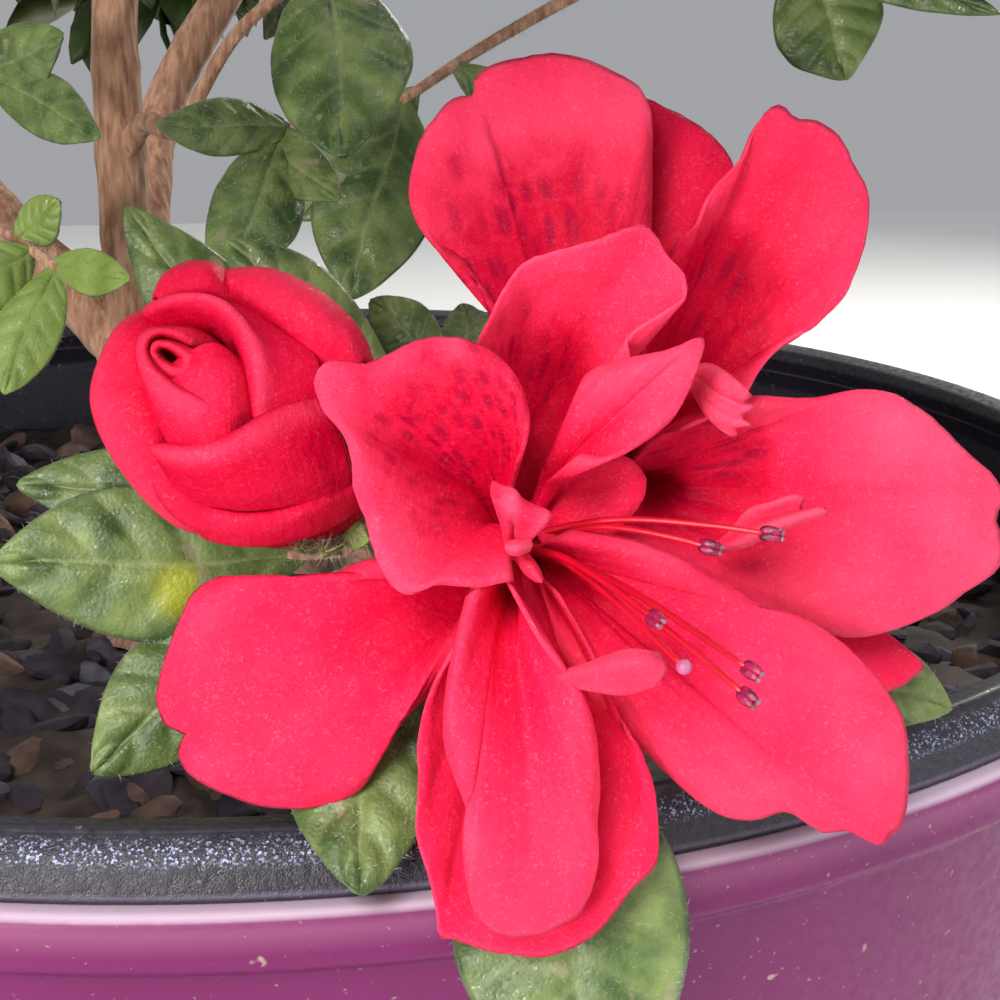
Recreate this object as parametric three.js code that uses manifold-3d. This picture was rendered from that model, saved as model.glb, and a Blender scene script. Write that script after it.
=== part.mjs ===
// A potted azalea shrub: a two-layer nursery pot filled with bark mix, a low forked trunk, tapering boughs,
// leafy masses round the crown, and one low shoot at the front that carries two open double blooms and an
// opening bud over the pot's rim. Millimetres, +Z up, with the origin in the middle of the pot's flat underside.
import * as THREE from "three";
import { mergeVertices } from "three/addons/utils/BufferGeometryUtils.js";
import Module from "manifold-3d";

const wasm = await Module();
wasm.setup();

const gap = 0.3; // left between any two pieces that meet
const fullTurn = Math.PI * 2;
const tidyTolerance = 0.04; // slivers smaller than this are merged
const goldenAngle = Math.PI * (3 - Math.sqrt(5));
const straightUp = new THREE.Vector3(0, 0, 1);

// Pot: a purple shell round a black liner, whose lip stands on the shell's bright ledge
const potHeight = 238; // to the ledge
const potRimRadius = 145;
const potFootRadius = 112;
const shellWall = 1.8;
const linerWall = 1.4;
const potFloor = 3;
const collarHeight = 6;
const collarStep = 1.8;
const lipHeight = 7;
const lipOuter = 142.4;
const lipInner = 134;
const potSides = 40;
const drainCount = 6;
const drainWidth = 18;
const drainHeight = 9;
const soilTop = 222;

// Limbs: the trunk, and the boughs that leave its fork, each through the points that it passes
const foot = new THREE.Vector3(-14, -14, soilTop + gap);
const fork = new THREE.Vector3(-21, -11, 268);
const trunkRadii = { flare: 14, foot: 9, fork: 6.6 };
const limbSides = 6;
const mainBoughs = {
  bough_upright: { through: [[-22, -12, 290], [-22, -10, 320], [-17, -5, 352]], radius: 4.4, tip: 3 },
  bough_left: { through: [[-42, -3, 287], [-62, 4, 312], [-76, 8, 338]], radius: 4.4, tip: 3 },
  bough_back: { through: [[-17, 17, 301], [-5, 24, 322], [10, 36, 350]], radius: 4, tip: 2.8 },
};

// Crown: leafy masses in rings, each with its bearing and height, and the bough that carries it
const crownMiddle = new THREE.Vector3(0, 6, 410);
const crownReach = new THREE.Vector3(212, 200, 180);
const massPlan = [
  { name: "skirt_right", bearing: 30, out: 126, height: 356, from: "bough_back" },
  { name: "skirt_rear", bearing: 90, out: 128, height: 350, from: "bough_back" },
  { name: "skirt_left", bearing: 150, out: 132, height: 350, from: "bough_left" },
  { name: "skirt_left_front", bearing: 208, out: 128, height: 366, from: "bough_left" },
  { name: "skirt_front", bearing: 268, out: 116, height: 392, from: "bough_upright" },
  { name: "skirt_right_front", bearing: 328, out: 130, height: 378, from: "bough_upright" },
  { name: "shoulder_right", bearing: 4, out: 88, height: 462, from: "bough_upright" },
  { name: "shoulder_rear", bearing: 92, out: 78, height: 452, from: "bough_back" },
  { name: "shoulder_left", bearing: 172, out: 92, height: 458, from: "bough_left" },
  { name: "shoulder_front", bearing: 262, out: 66, height: 478, from: "bough_upright" },
  { name: "crown_top", bearing: 60, out: 12, height: 526, from: "bough_upright" },
  { name: "low_left", bearing: 172, out: 104, height: 292, from: "bough_left" },
];
const massReach = 84; // how far a twig may grow from its mass's stem
const massClearance = 0.8; // kept from the plane between a mass and the next
const sideBoughRadius = 3;
const sideBoughTip = 1.9;
const boughShare = 0.6; // a bough ends this far along the way to the middle of its mass
const twigsPerMass = 6;
const twigRadius = 1.1;
const leavesPerTwig = 4;
const leafLength = 38; // larger than life, because each stands for a tuft
const leafWidth = 18;
const leafThickness = 1;
const leafSpacing = 17; // between the middles of two leaves
const massBlooms = ["skirt_right", "skirt_left_front", "shoulder_left"];
const plainBloom = { petals: 5, length: 26, width: 22, thickness: 0.9 };

// The viewpoint that the front shoot is laid out from. A place there is x to the right, y up and near
// towards the eye, all in millimetres as the eye sees them at arm's reach.
const eye = { at: new THREE.Vector3(0, -322, 330.6), yaw: 6.56, pitch: 16.06, reach: 200, viewHalf: 50 };
const eyeYaw = THREE.MathUtils.degToRad(eye.yaw);
const eyePitch = THREE.MathUtils.degToRad(eye.pitch);
const forward = new THREE.Vector3(
  Math.sin(eyeYaw) * Math.cos(eyePitch),
  Math.cos(eyeYaw) * Math.cos(eyePitch),
  -Math.sin(eyePitch),
);
const rightward = forward.clone().cross(straightUp).normalize();
const upward = rightward.clone().cross(forward);

function seen(x, y, near) {
  return new THREE.Vector3()
    .addScaledVector(rightward, x)
    .addScaledVector(upward, y)
    .addScaledVector(forward, eye.reach)
    .multiplyScalar((eye.reach - near) / eye.reach)
    .add(eye.at);
}

// The other way round: where a point of the part appears from the eye
function asSeen(point) {
  const ray = point.clone().sub(eye.at);
  const depth = ray.dot(forward);
  const scale = eye.reach / depth;
  return { x: ray.dot(rightward) * scale, y: ray.dot(upward) * scale, near: eye.reach - depth };
}

// The front shoot. Each petal fans out from its root to its rim. Its near values are those at the root,
// half way and at the tip, and its edges come forward by the values for its first and its last edge.
const shootTip = [-11, -6, -20];
const openBlooms = {
  bloom_front: {
    throat: [1.5, -4.5, 0],
    mouthRadius: 3.6,
    petals: {
      upperLeft: {
        root: [0.5, -1], near: [3, 11, 16], edges: [-2, -4], ruffle: 0.6,
        rim: [[0.2, -7.6], [-2.5, -8.8], [-8.5, -9.6], [-12.3, -5.5], [-14.9, 3], [-18.4, 10.5], [-18.2, 12.9],
          [-13, 14.4], [-6.6, 16.3], [0.4, 13.5], [2.9, 8.5], [1.7, 3.6]],
      },
      upper: {
        root: [1.6, 0.5], near: [2, 4, 12], edges: [1, 2], ruffle: 0.5,
        rim: [[-1.6, 8], [-2.3, 16.6], [0.4, 21.5], [6.5, 25.2], [15, 27.4], [18.4, 23.4], [18.4, 20.2],
          [14.2, 17.7], [9.8, 13.6], [8, 7], [4, 3]],
      },
      inner: {
        root: [3.6, 1], near: [4, 8, 12], edges: [-2, 0], ruffle: 0.3,
        rim: [[8.2, 4.2], [11.2, 4.3], [14, 5.7], [18.8, 10], [20.4, 16.3], [16.4, 15], [9.7, 13.2], [7.4, 8.5]],
      },
      lobe: {
        root: [2.5, -0.9], near: [1.4, 3.4, 4], edges: [1, 1], ruffle: 0.2,
        rim: [[6, -2.6], [10.3, -1.8], [14.3, 0.6], [14.3, 3], [12.7, 4.3], [8.4, 3.6], [5, 1.4]],
      },
      lowerLeft: {
        root: [-1, -7], near: [1, 6, 6], edges: [-1, -2], ruffle: 0.8,
        rim: [[-6, -6.8], [-12.4, -5.9], [-20, -8.1], [-29.9, -8], [-32.6, -14.3], [-34.1, -20.1], [-32.4, -26.2],
          [-26.1, -29.7], [-18.1, -30.6], [-13.3, -27.7], [-9.9, -21.9], [-5, -16.5], [-2.6, -11]],
      },
      bottomFront: {
        root: [0.2, -7], near: [5, 13, 15], edges: [-2, -2], ruffle: 0.5,
        rim: [[-2.8, -9.5], [-5.4, -18], [-5.2, -25], [-3.6, -31], [-3, -39], [0, -43.5], [4, -43], [8.9, -39],
          [10, -30.3], [8.6, -21.7], [4.8, -14.3], [2.2, -9.6]],
      },
      bottomBack: {
        root: [1, -6], near: [2, 8, 11], edges: [-1, -1], ruffle: 0.6,
        rim: [[-3.4, -15], [-8, -22.5], [-8.3, -35], [-6, -43.9], [0, -45.4], [6.4, -45.3], [11.8, -41.8],
          [15.8, -35.4], [15, -27], [9.4, -20.8], [5, -13]],
      },
      lowerRight: {
        root: [3, -5], near: [3, 8, 8], edges: [-1.5, -2], ruffle: 1,
        rim: [[5.6, -14], [9.8, -20.7], [17.8, -28.3], [24.8, -32.1], [30, -31.2], [34.5, -33], [38.3, -34.7],
          [40.4, -30.7], [40.7, -23], [36.6, -16], [28.7, -11.8], [20.4, -7.3], [12.7, -3.5], [6.5, -2.8]],
      },
    },
    petaloids: [
      { root: [6, -17.4, 10], tip: [16.8, -17, 16], width: 4.6 },
      { root: [0.6, -2.5, 4], tip: [-0.6, 3, 10], width: 3.4 },
      { root: [1, -4.5, 4], tip: [4.6, -1.6, 12], width: 2.6 },
    ],
    stamens: [[18.5, -16.6, 26], [15.4, -11.8, 24], [25, -17, 24], [24.6, -19.6, 23]],
  },
  bloom_rear: {
    throat: [12, 2.5, -9],
    mouthRadius: 3.6,
    petals: {
      upperLeft: {
        root: [7, 9], near: [-6, -5, -4], edges: [2, -1], ruffle: 0.6,
        rim: [[2, 14], [-1.9, 18.1], [-4.6, 23.2], [-8.9, 28.7], [-8.9, 33.6], [-6.8, 37.8], [-4.3, 40.6],
          [-1.6, 42.2], [2.1, 44.3], [7.2, 44.3], [13, 41.3], [15.4, 36], [15.2, 24], [13.5, 15]],
      },
      upperMiddle: {
        root: [11, 9], near: [-9, -9, -8], edges: [0, 0], ruffle: 0.3,
        rim: [[9, 22], [11.5, 37], [16.1, 39.5], [20.6, 37.1], [23.3, 33.6], [22, 25], [17, 15]],
      },
      upperRight: {
        root: [13, 6], near: [-6, -3, 2], edges: [2, 2], ruffle: 0.8,
        rim: [[14, 14], [16.6, 24.7], [20.6, 29.1], [23.5, 33.6], [26.7, 39.2], [31, 38.6], [34.4, 36.4],
          [36.9, 30.5], [35.8, 22.9], [32, 17.6], [27.2, 14.4], [24, 10], [18, 7]],
      },
      right: {
        root: [11, 1.5], near: [-6, -2, -1], edges: [1, -2], ruffle: 0.8,
        rim: [[15, 6], [24, 10.2], [30.9, 10.2], [38, 11], [43.4, 8], [48.2, 3], [50.6, -3], [47.8, -8.6],
          [42, -12.3], [35.4, -13.8], [27, -12], [18, -6.5], [13, -2]],
      },
      lowerRight: {
        root: [12, 0], near: [-9, -8, -7], edges: [0, 0], ruffle: 0.2,
        rim: [[22, -4], [34, -9], [39, -13.2], [41.6, -15.6], [42.2, -17.4], [38.9, -19.1], [32, -19],
          [18, -9]],
      },
    },
    petaloids: [
      { root: [13, 4.5, -5], tip: [25.4, 7.4, 3], width: 4 },
      { root: [20, -4.6, -3], tip: [32.6, -1, 6], width: 3.4 },
    ],
    stamens: [[26.9, -3.4, 14], [21, -4.8, 13]],
  },
};
const petalGrid = { across: 8, along: 3 };
const heroPetalThickness = 0.9;
const petalStart = 0.2; // a fan begins this far from its root; a narrow claw joins it to the throat
const throatRadius = 2.7;
const clawStart = 1.3; // from the throat's middle
const clawRise = 0.25; // how far a claw starts nearer than the throat, for each millimetre of its petal's root
const stamenSpread = 0.9;
const stamenRadius = 0.42;

// The opening bud: a swelling body with petals lapped round it, each between two bearings round the bud's
// axis, with its lip at its own height along the axis at its start, middle and end
const bud = {
  base: [-16.6, -2.6, -5], top: [-32, 14.2, 10], radius: 11.4, stations: 6, sides: 10,
  petals: {
    left: { from: 165, to: 292, lift: 2.6, lip: [0.72, 0.98, 0.74], roll: 1 },
    rear: { from: 20, to: 172, lift: 1.5, lip: [0.66, 1.06, 0.7], roll: 1.6 },
    front: { from: 282, to: 388, lift: 1.4, lip: [0.68, 0.72, 0.68], roll: 0.6 },
  },
};

// Leaves of the front shoot: root, tip, and width where widest
const frontLeaves = [
  { root: [-19, -5.4, -17], tip: [-51, -6.4, -10], width: 15.2 },
  { root: [-21, 1, -20], tip: [-48.4, 1.5, -20], width: 9 },
  { root: [-21, -10.5, -17], tip: [-40.8, -27.4, -10], width: 11.5 },
  { root: [-7, -14, -9], tip: [-13.6, -39.7, 9], width: 13 },
  { root: [6, -22, 1], tip: [9.6, -62, 9], width: 23.5 },
  { root: [28, -14, -16], tip: [45.2, -21, -14], width: 9 },
  { root: [-10, 10, -24], tip: [-27.6, 26, -26], width: 9.5 },
  { root: [-5, 13, -26], tip: [-13, 20, -30], width: 6 },
  { root: [-3, 14, -30], tip: [-3.6, 19.6, -40], width: 5 },
];
const frontLeafThickness = 0.5;

// Shoots at the left and the top of the view: the bough that each leaves, how far its own small bough
// bows out and where it ends, and its twigs. A twig passes through its points, and each leaf joins it at the
// place nearest its root.
const viewShoots = {
  view_left: {
    from: "bough_left", share: 0.6, lift: 4, end: [-60, 31, -98],
    twigs: [
      {
        through: [[-50, 27, -92], [-44, 23, -84]],
        leaves: [
          { root: [-45, 23, -84], tip: [-49.6, 10.5, -78], width: 6.6 },
          { root: [-45, 25, -84], tip: [-37, 22, -74], width: 4.4 },
          { root: [-50, 25.4, -88], tip: [-44, 30, -84], width: 4.6 },
          { root: [-48, 25, -86], tip: [-56, 20, -80], width: 8 },
        ],
      },
      {
        through: [[-58, 39, -94], [-50, 43, -84]],
        leaves: [
          { root: [-52, 42, -84], tip: [-40, 36.2, -72], width: 6 },
          { root: [-54, 42, -86], tip: [-43.6, 46.6, -76], width: 7 },
          { root: [-52, 43.6, -84], tip: [-58, 34, -80], width: 8 },
        ],
      },
    ],
  },
  view_middle: {
    from: "bough_upright", share: 0.34, lift: 4, end: [-33, 37, -92],
    twigs: [
      {
        through: [[-28, 38, -86], [-20, 37, -80]],
        leaves: [
          { root: [-21, 36.6, -80], tip: [-34.4, 37.4, -66], width: 5.6 },
          { root: [-22, 36, -80], tip: [-28, 21, -62], width: 9 },
          { root: [-26, 37, -84], tip: [-16, 30, -70], width: 6 },
        ],
      },
      {
        through: [[-26, 47, -84], [-17, 54, -76]],
        leaves: [
          { root: [-17, 53, -76], tip: [-15.6, 34.2, -62], width: 14 },
          { root: [-20, 50, -78], tip: [-12, 44, -88], width: 8 },
        ],
      },
    ],
  },
  view_top: {
    from: "bough_back", share: 0.72, lift: 14, end: [10.5, 53.5, -124],
    twigs: [
      {
        through: [[-2, 45.1, -116], [-10, 39.8, -108]],
        leaves: [
          { root: [-9.6, 40, -108], tip: [-15, 20, -104], width: 12 },
          { root: [-8, 40.4, -109], tip: [-20, 28, -112], width: 9 },
          { root: [-4, 42.4, -114], tip: [6, 36, -112], width: 5 },
        ],
      },
    ],
  },
};

// Leaves that hang into the upper right of the view from a mass of the crown
const hanging = {
  mass: "skirt_right_front",
  twig: [30, 54, -42],
  leaves: [
    { root: [30.4, 53.4, -42], tip: [34.6, 42, -40], width: 11 },
    { root: [33, 54, -42], tip: [50, 48.6, -36], width: 4 },
  ],
};

// Materials, as the plant looks
const finish = {
  potPurple: new THREE.MeshStandardMaterial({ color: 0x6a1f58, roughness: 0.38, metalness: 0 }),
  potBlack: new THREE.MeshStandardMaterial({ color: 0x17161a, roughness: 0.5, metalness: 0 }),
  bark: new THREE.MeshStandardMaterial({ color: 0x7d5642, roughness: 0.85, metalness: 0 }),
  mix: new THREE.MeshStandardMaterial({ color: 0x2b2420, roughness: 0.95, metalness: 0 }),
  leaf: new THREE.MeshStandardMaterial({ color: 0x3c6b34, roughness: 0.5, metalness: 0 }),
  petal: new THREE.MeshStandardMaterial({ color: 0xe8264f, roughness: 0.55, metalness: 0 }),
};

// One simple generator for whatever is left to chance
function seededRandom(seed) {
  let state = seed >>> 0;
  return () => {
    state = (Math.imul(state, 1664525) + 1013904223) >>> 0;
    return state / 4294967296;
  };
}

// Geometry helpers
function solidOf(geometry) {
  const plain = geometry.clone();
  plain.deleteAttribute("normal");
  plain.deleteAttribute("uv");
  const merged = mergeVertices(plain, 1e-4);
  const kept = [];
  for (let i = 0; i < merged.index.count; i += 3) {
    const corners = [0, 1, 2].map((k) => merged.index.getX(i + k));
    if (new Set(corners).size === 3) kept.push(...corners);
  }
  return new wasm.Manifold(
    new wasm.Mesh({
      numProp: 3,
      vertProperties: new Float32Array(merged.attributes.position.array),
      triVerts: new Uint32Array(kept),
    }),
  );
}

function geometryOf(solid) {
  const mesh = solid.getMesh();
  const places = new Float32Array(mesh.numVert * 3);
  for (let i = 0; i < mesh.numVert; i++) {
    places.set(mesh.vertProperties.subarray(i * mesh.numProp, i * mesh.numProp + 3), i * 3);
  }
  const geometry = new THREE.BufferGeometry();
  geometry.setAttribute("position", new THREE.BufferAttribute(places, 3));
  geometry.setIndex(new THREE.BufferAttribute(new Uint32Array(mesh.triVerts), 1));
  geometry.computeVertexNormals();
  return geometry;
}

function unionOf(solids) {
  return wasm.Manifold.union(solids);
}

const plant = new THREE.Group();

// The largest body is kept, because a cut can leave scraps
function addNode(name, solid, material) {
  const body = solid.simplify(tidyTolerance).decompose().sort((a, b) => b.volume() - a.volume())[0];
  const mesh = new THREE.Mesh(geometryOf(body), material);
  mesh.name = name;
  plant.add(mesh);
}

function latticeTriangles(rows, closedAround, flip) {
  const triangles = [];
  for (let i = 0; i + 1 < rows.length; i++) {
    const count = rows[i].length;
    const last = closedAround ? count : count - 1;
    for (let j = 0; j < last; j++) {
      const a = rows[i][j];
      const b = rows[i][(j + 1) % count];
      const c = rows[i + 1][(j + 1) % count];
      const d = rows[i + 1][j];
      triangles.push(...(flip ? [a, c, b, a, d, c] : [a, b, c, a, c, d]));
    }
  }
  return triangles;
}

function solidFromTriangles(points) {
  const geometry = new THREE.BufferGeometry();
  geometry.setFromPoints(points);
  geometry.setIndex(points.map((_, i) => i));
  return solidOf(geometry);
}

// A round limb along a curve, with its own radius at each step and flat ends
function limbSolid(curve, radiusAt, steps, sides) {
  const frames = curve.computeFrenetFrames(steps, false);
  const rows = [];
  for (let i = 0; i <= steps; i++) {
    const centre = curve.getPointAt(i / steps);
    const radius = radiusAt(i / steps);
    const row = [];
    for (let j = 0; j < sides; j++) {
      const angle = (j / sides) * fullTurn;
      row.push(
        centre
          .clone()
          .addScaledVector(frames.normals[i], Math.cos(angle) * radius)
          .addScaledVector(frames.binormals[i], Math.sin(angle) * radius),
      );
    }
    rows.push(row);
  }
  const start = rows[0].map(() => curve.getPointAt(0));
  const end = rows[0].map(() => curve.getPointAt(1));
  return solidFromTriangles(latticeTriangles([start, ...rows, end], true, false));
}

function rodSolid(from, to, fromRadius, toRadius, sides) {
  const line = new THREE.LineCurve3(from, to);
  return limbSolid(line, (share) => fromRadius + (toRadius - fromRadius) * share, 1, sides);
}

// A thin blade from rows of points along it: full thickness inside, closed round its edge
function bladeSolid(rows, thickness) {
  const last = rows.length - 1;
  const side = rows[0].length - 1;
  const faces = [1, -1].map((facing) =>
    rows.map((row, i) =>
      row.map((point, j) => {
        if (i === 0 || i === last || j === 0 || j === side) return point;
        const along = rows[i + 1][j].clone().sub(rows[i - 1][j]);
        const across = row[j + 1].clone().sub(row[j - 1]);
        const normal = across.cross(along).normalize();
        return point.clone().addScaledVector(normal, (facing * thickness) / 2);
      }),
    ),
  );
  const skin = (turned) =>
    solidFromTriangles([
      ...latticeTriangles(faces[0], false, turned),
      ...latticeTriangles(faces[1], false, !turned),
    ]);
  const solid = skin(false);
  return solid.volume() > 0 ? solid : skin(true);
}

// A leaf or plain petal of eight faces
function leafSolid(root, tip, width, thickness, facing, droop) {
  const along = tip.clone().sub(root);
  const across = along.clone().cross(facing).normalize();
  const outward = across.clone().cross(along).normalize();
  const middle = root.clone().addScaledVector(along, 0.55);
  const rib = middle.clone().addScaledVector(outward, -droop);
  const left = middle.clone().addScaledVector(across, width / 2).addScaledVector(outward, droop);
  const right = middle.clone().addScaledVector(across, -width / 2).addScaledVector(outward, droop);
  return bladeSolid([[root, root, root], [left, rib, right], [tip, tip, tip]], thickness);
}

// A finer leaf for what the eye sees close by: an oval folded along its rib
function nearLeafSolid(leaf, root = seen(...leaf.root)) {
  const tip = seen(...leaf.tip);
  const along = tip.clone().sub(root);
  const across = along.clone().cross(forward).normalize();
  const outward = across.clone().cross(along).normalize();
  const scale = (eye.reach - (leaf.root[2] + leaf.tip[2]) / 2) / eye.reach;
  const stations = [0, 0.28, 0.7, 1];
  const rows = stations.map((share) => {
    const half = ((leaf.width * scale) / 2) * Math.sin(Math.PI * share ** 1.1) ** 0.7;
    const rib = root.clone().addScaledVector(along, share);
    const edge = (direction) =>
      rib.clone().addScaledVector(across, direction * half).addScaledVector(outward, half * 0.2);
    return share === 0 || share === 1 ? [rib, rib, rib] : [edge(1), rib, edge(-1)];
  });
  return bladeSolid(rows, frontLeafThickness);
}

// A petal's rows of points: a claw that leaves the throat, then the fan up to the rim
function petalRows(petal, throat) {
  const rim = new THREE.CatmullRomCurve3(petal.rim.map(([x, y]) => new THREE.Vector3(x, y, 0)));
  const root = new THREE.Vector3(petal.root[0], petal.root[1], 0);
  const edge = rim.getSpacedPoints(petalGrid.across);
  const [start, half, tip] = petal.near;
  const middle = rim.getPointAt(0.5).sub(root).normalize();
  const clawNear = throat[2] + petal.near[0] * clawRise;
  const claw = edge.map(() => seen(throat[0] + middle.x * clawStart, throat[1] + middle.y * clawStart, clawNear));
  const rows = [claw];
  for (let i = 0; i <= petalGrid.along; i++) {
    const share = petalStart + ((1 - petalStart) * i) / petalGrid.along;
    rows.push(
      edge.map((point, j) => {
        const aside = (j / petalGrid.across) * 2 - 1;
        const bend = aside ** 2 * share * petal.edges[aside < 0 ? 0 : 1];
        const wave = Math.sin((aside + 0.3) * 1.5 * fullTurn) * petal.ruffle * share ** 4;
        const rise =
          start * (1 - share) * (1 - 2 * share) + half * 4 * share * (1 - share) + tip * share * (2 * share - 1);
        const place = root.clone().lerp(point, share);
        return seen(place.x, place.y, rise + bend + wave);
      }),
    );
  }
  return rows;
}

// Pot, liner and mix
function latheSolid(profile) {
  const geometry = new THREE.LatheGeometry(
    profile.map(([radius, height]) => new THREE.Vector2(radius, height)),
    potSides,
  );
  geometry.rotateX(Math.PI / 2);
  return solidOf(geometry);
}

function wallRadius(height) {
  return potFootRadius + ((potRimRadius - collarStep - potFootRadius) * height) / potHeight;
}

function drainHoles() {
  const holes = [];
  for (let k = 0; k < drainCount; k++) {
    const hole = new THREE.BoxGeometry(30, drainWidth, drainHeight);
    hole.translate(wallRadius(drainHeight), 0, potFloor + 1 + drainHeight / 2);
    hole.rotateZ(((k + 0.5) / drainCount) * fullTurn);
    holes.push(solidOf(hole));
  }
  return unionOf(holes);
}

function shellSolid() {
  const collarFoot = potHeight - collarHeight;
  const shell = latheSolid([
    [0, 0],
    [potFootRadius - 1, 0],
    [potFootRadius, 1],
    [wallRadius(collarFoot - collarStep), collarFoot - collarStep],
    [potRimRadius, collarFoot],
    [potRimRadius, potHeight - 0.9],
    [potRimRadius - 0.9, potHeight],
    [wallRadius(potHeight) - shellWall, potHeight],
    [wallRadius(potFloor) - shellWall, potFloor],
    [0, potFloor],
  ]);
  return shell.subtract(drainHoles());
}

function linerSolid() {
  const outside = (height) => wallRadius(height) - shellWall - gap;
  const inside = (height) => outside(height) - linerWall;
  const lipTop = potHeight + lipHeight;
  const liner = latheSolid([
    [inside(potFloor), potFloor],
    [outside(potFloor), potFloor],
    [outside(potHeight), potHeight],
    [lipOuter, potHeight],
    [lipOuter, potHeight + 1.2],
    [lipOuter - 1.2, lipTop - 2.4],
    [lipOuter - 3.6, lipTop],
    [lipInner + 1, lipTop - 0.9],
    [lipInner, lipTop - 2.8],
    [inside(potHeight - 3), potHeight - 3],
    [inside(potFloor), potFloor],
  ]);
  return liner.subtract(drainHoles());
}

function mixSolid() {
  const inside = (height) => wallRadius(height) - shellWall - linerWall - gap * 2;
  const floor = potFloor + gap;
  return latheSolid([
    [0, floor],
    [inside(floor), floor],
    [inside(soilTop), soilTop],
    [0, soilTop],
  ]);
}

// Trunk and boughs
function trunkSolid(extra) {
  const below = foot.clone().add(new THREE.Vector3(0.5, -0.5, -6));
  const waist = new THREE.Vector3().lerpVectors(foot, fork, 0.5).add(new THREE.Vector3(1.5, -1, 0));
  const curve = new THREE.CatmullRomCurve3([below, foot, waist, fork]);
  const { flare, foot: footRadius, fork: forkRadius } = trunkRadii;
  const radiusAt = (share) =>
    footRadius +
    (flare - footRadius) * Math.max(0, 1 - share * 2.6) ** 1.6 +
    (forkRadius - footRadius) * share +
    extra;
  const whole = limbSolid(curve, radiusAt, 8, limbSides + 2);
  return whole.trimByPlane([0, 0, 1], foot.z - (extra ? gap : 0));
}

function boughCurve(points) {
  return new THREE.CatmullRomCurve3(points.map((p) => (Array.isArray(p) ? new THREE.Vector3(...p) : p)));
}

function boughSolid(bough, extra) {
  const radiusAt = (share) => bough.tip + (bough.radius - bough.tip) * (1 - share) ** 1.3 + extra;
  return limbSolid(bough.curve, radiusAt, bough.steps, limbSides);
}

function planBoughs() {
  const boughs = {};
  Object.entries(mainBoughs).forEach(([name, plan]) => {
    const start = fork.clone().add(new THREE.Vector3(0, 0, -3));
    boughs[name] = { curve: boughCurve([start, ...plan.through]), radius: plan.radius, tip: plan.tip, steps: 7 };
  });
  const frontStart = new THREE.Vector3().lerpVectors(foot, fork, 0.45);
  const frontEnd = seen(...shootTip);
  const frontKnee = new THREE.Vector3().lerpVectors(frontStart, frontEnd, 0.5).add(new THREE.Vector3(0, 0, -3));
  boughs.bough_front = { curve: boughCurve([frontStart, frontKnee, frontEnd]), radius: 3.4, tip: 2.2, steps: 6 };
  Object.entries(viewShoots).forEach(([name, shoot]) => {
    const carrier = boughs[shoot.from].curve;
    const start = carrier.getPointAt(shoot.share);
    const end = seen(...shoot.end);
    const knee = start.clone().lerp(end, 0.5).addScaledVector(carrier.getTangentAt(shoot.share), shoot.lift);
    boughs[`bough_${name}`] = { curve: boughCurve([start, knee, end]), radius: 2, tip: 1.5, steps: 4 };
  });
  return boughs;
}

function planMasses(boughs) {
  const used = {};
  return massPlan.map((plan, index) => {
    const angle = THREE.MathUtils.degToRad(plan.bearing);
    const centre = new THREE.Vector3(plan.out * Math.cos(angle), plan.out * Math.sin(angle), plan.height);
    const carrier = boughs[plan.from];
    used[plan.from] = (used[plan.from] || 0) + 1;
    const share = plan.name === "low_left" ? 0.6 : Math.max(0.72, 1.04 - 0.08 * used[plan.from]);
    const start = carrier.curve.getPointAt(share);
    const heading = carrier.curve.getTangentAt(share);
    const reach = centre.clone().sub(start);
    const end = start.clone().addScaledVector(reach, boughShare);
    const knee = start.clone().addScaledVector(reach, boughShare * 0.45);
    knee.addScaledVector(heading, reach.length() * 0.06);
    const bough = { curve: boughCurve([start, knee, end]), radius: sideBoughRadius, tip: sideBoughTip, steps: 5 };
    return { ...plan, centre, bough, seed: 101 + index * 17 };
  });
}

// Foliage
function ownSide(point, mass, masses) {
  return masses.every((other) => {
    if (other === mass) return true;
    const between = other.centre.clone().sub(mass.centre);
    const half = between.length() / 2;
    return half - point.clone().sub(mass.centre).dot(between.normalize()) > massClearance;
  });
}

// The space before the eye is kept open, all but the far upper left of it
function inView(point) {
  const spot = asSeen(point);
  const edge = eye.viewHalf + 6;
  if (spot.x > edge || spot.x < -edge || spot.y > edge || spot.y < -edge) return false;
  return !(spot.x < -16 && spot.y > 16 && spot.near < -112);
}

function insideCrown(point) {
  return point.clone().sub(crownMiddle).divide(crownReach).length() < 1;
}

function allowed(point, mass, masses) {
  const aboveRim = point.z > potHeight + lipHeight + 8;
  return aboveRim && insideCrown(point) && ownSide(point, mass, masses) && !inView(point);
}

function clearOfLimbs(from, to, limbs, own, distance) {
  const line = new THREE.Line3(from, to);
  const nearest = new THREE.Vector3();
  return limbs.every((limb) =>
    limb.samples.every((spot, i) => {
      if (limb === own && i > limb.samples.length - 3) return true;
      return line.closestPointToPoint(spot, true, nearest).distanceTo(spot) > distance;
    }),
  );
}

function plainBloomPetals(centre, facing) {
  const side = new THREE.Vector3(-facing.y, facing.x, 0.2).normalize();
  const other = facing.clone().cross(side).normalize();
  const petals = [];
  for (let k = 0; k < plainBloom.petals; k++) {
    const angle = (k / plainBloom.petals) * fullTurn;
    const out = side.clone().multiplyScalar(Math.cos(angle)).addScaledVector(other, Math.sin(angle));
    const root = centre.clone().addScaledVector(facing, -7);
    const tip = centre.clone().addScaledVector(out, plainBloom.length).addScaledVector(facing, 5 + (k % 2) * 3);
    petals.push(leafSolid(root, tip, plainBloom.width, plainBloom.thickness, facing, 1.5));
  }
  return petals;
}

function petalAllowed(petal, mass, masses) {
  const box = petal.boundingBox();
  const corners = [0, 1, 2, 3, 4, 5, 6, 7].map(
    (k) =>
      new THREE.Vector3(
        k & 1 ? box.max[0] : box.min[0],
        k & 2 ? box.max[1] : box.min[1],
        k & 4 ? box.max[2] : box.min[2],
      ),
  );
  return corners.every((corner) => ownSide(corner, mass, masses) && !inView(corner));
}

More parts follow.
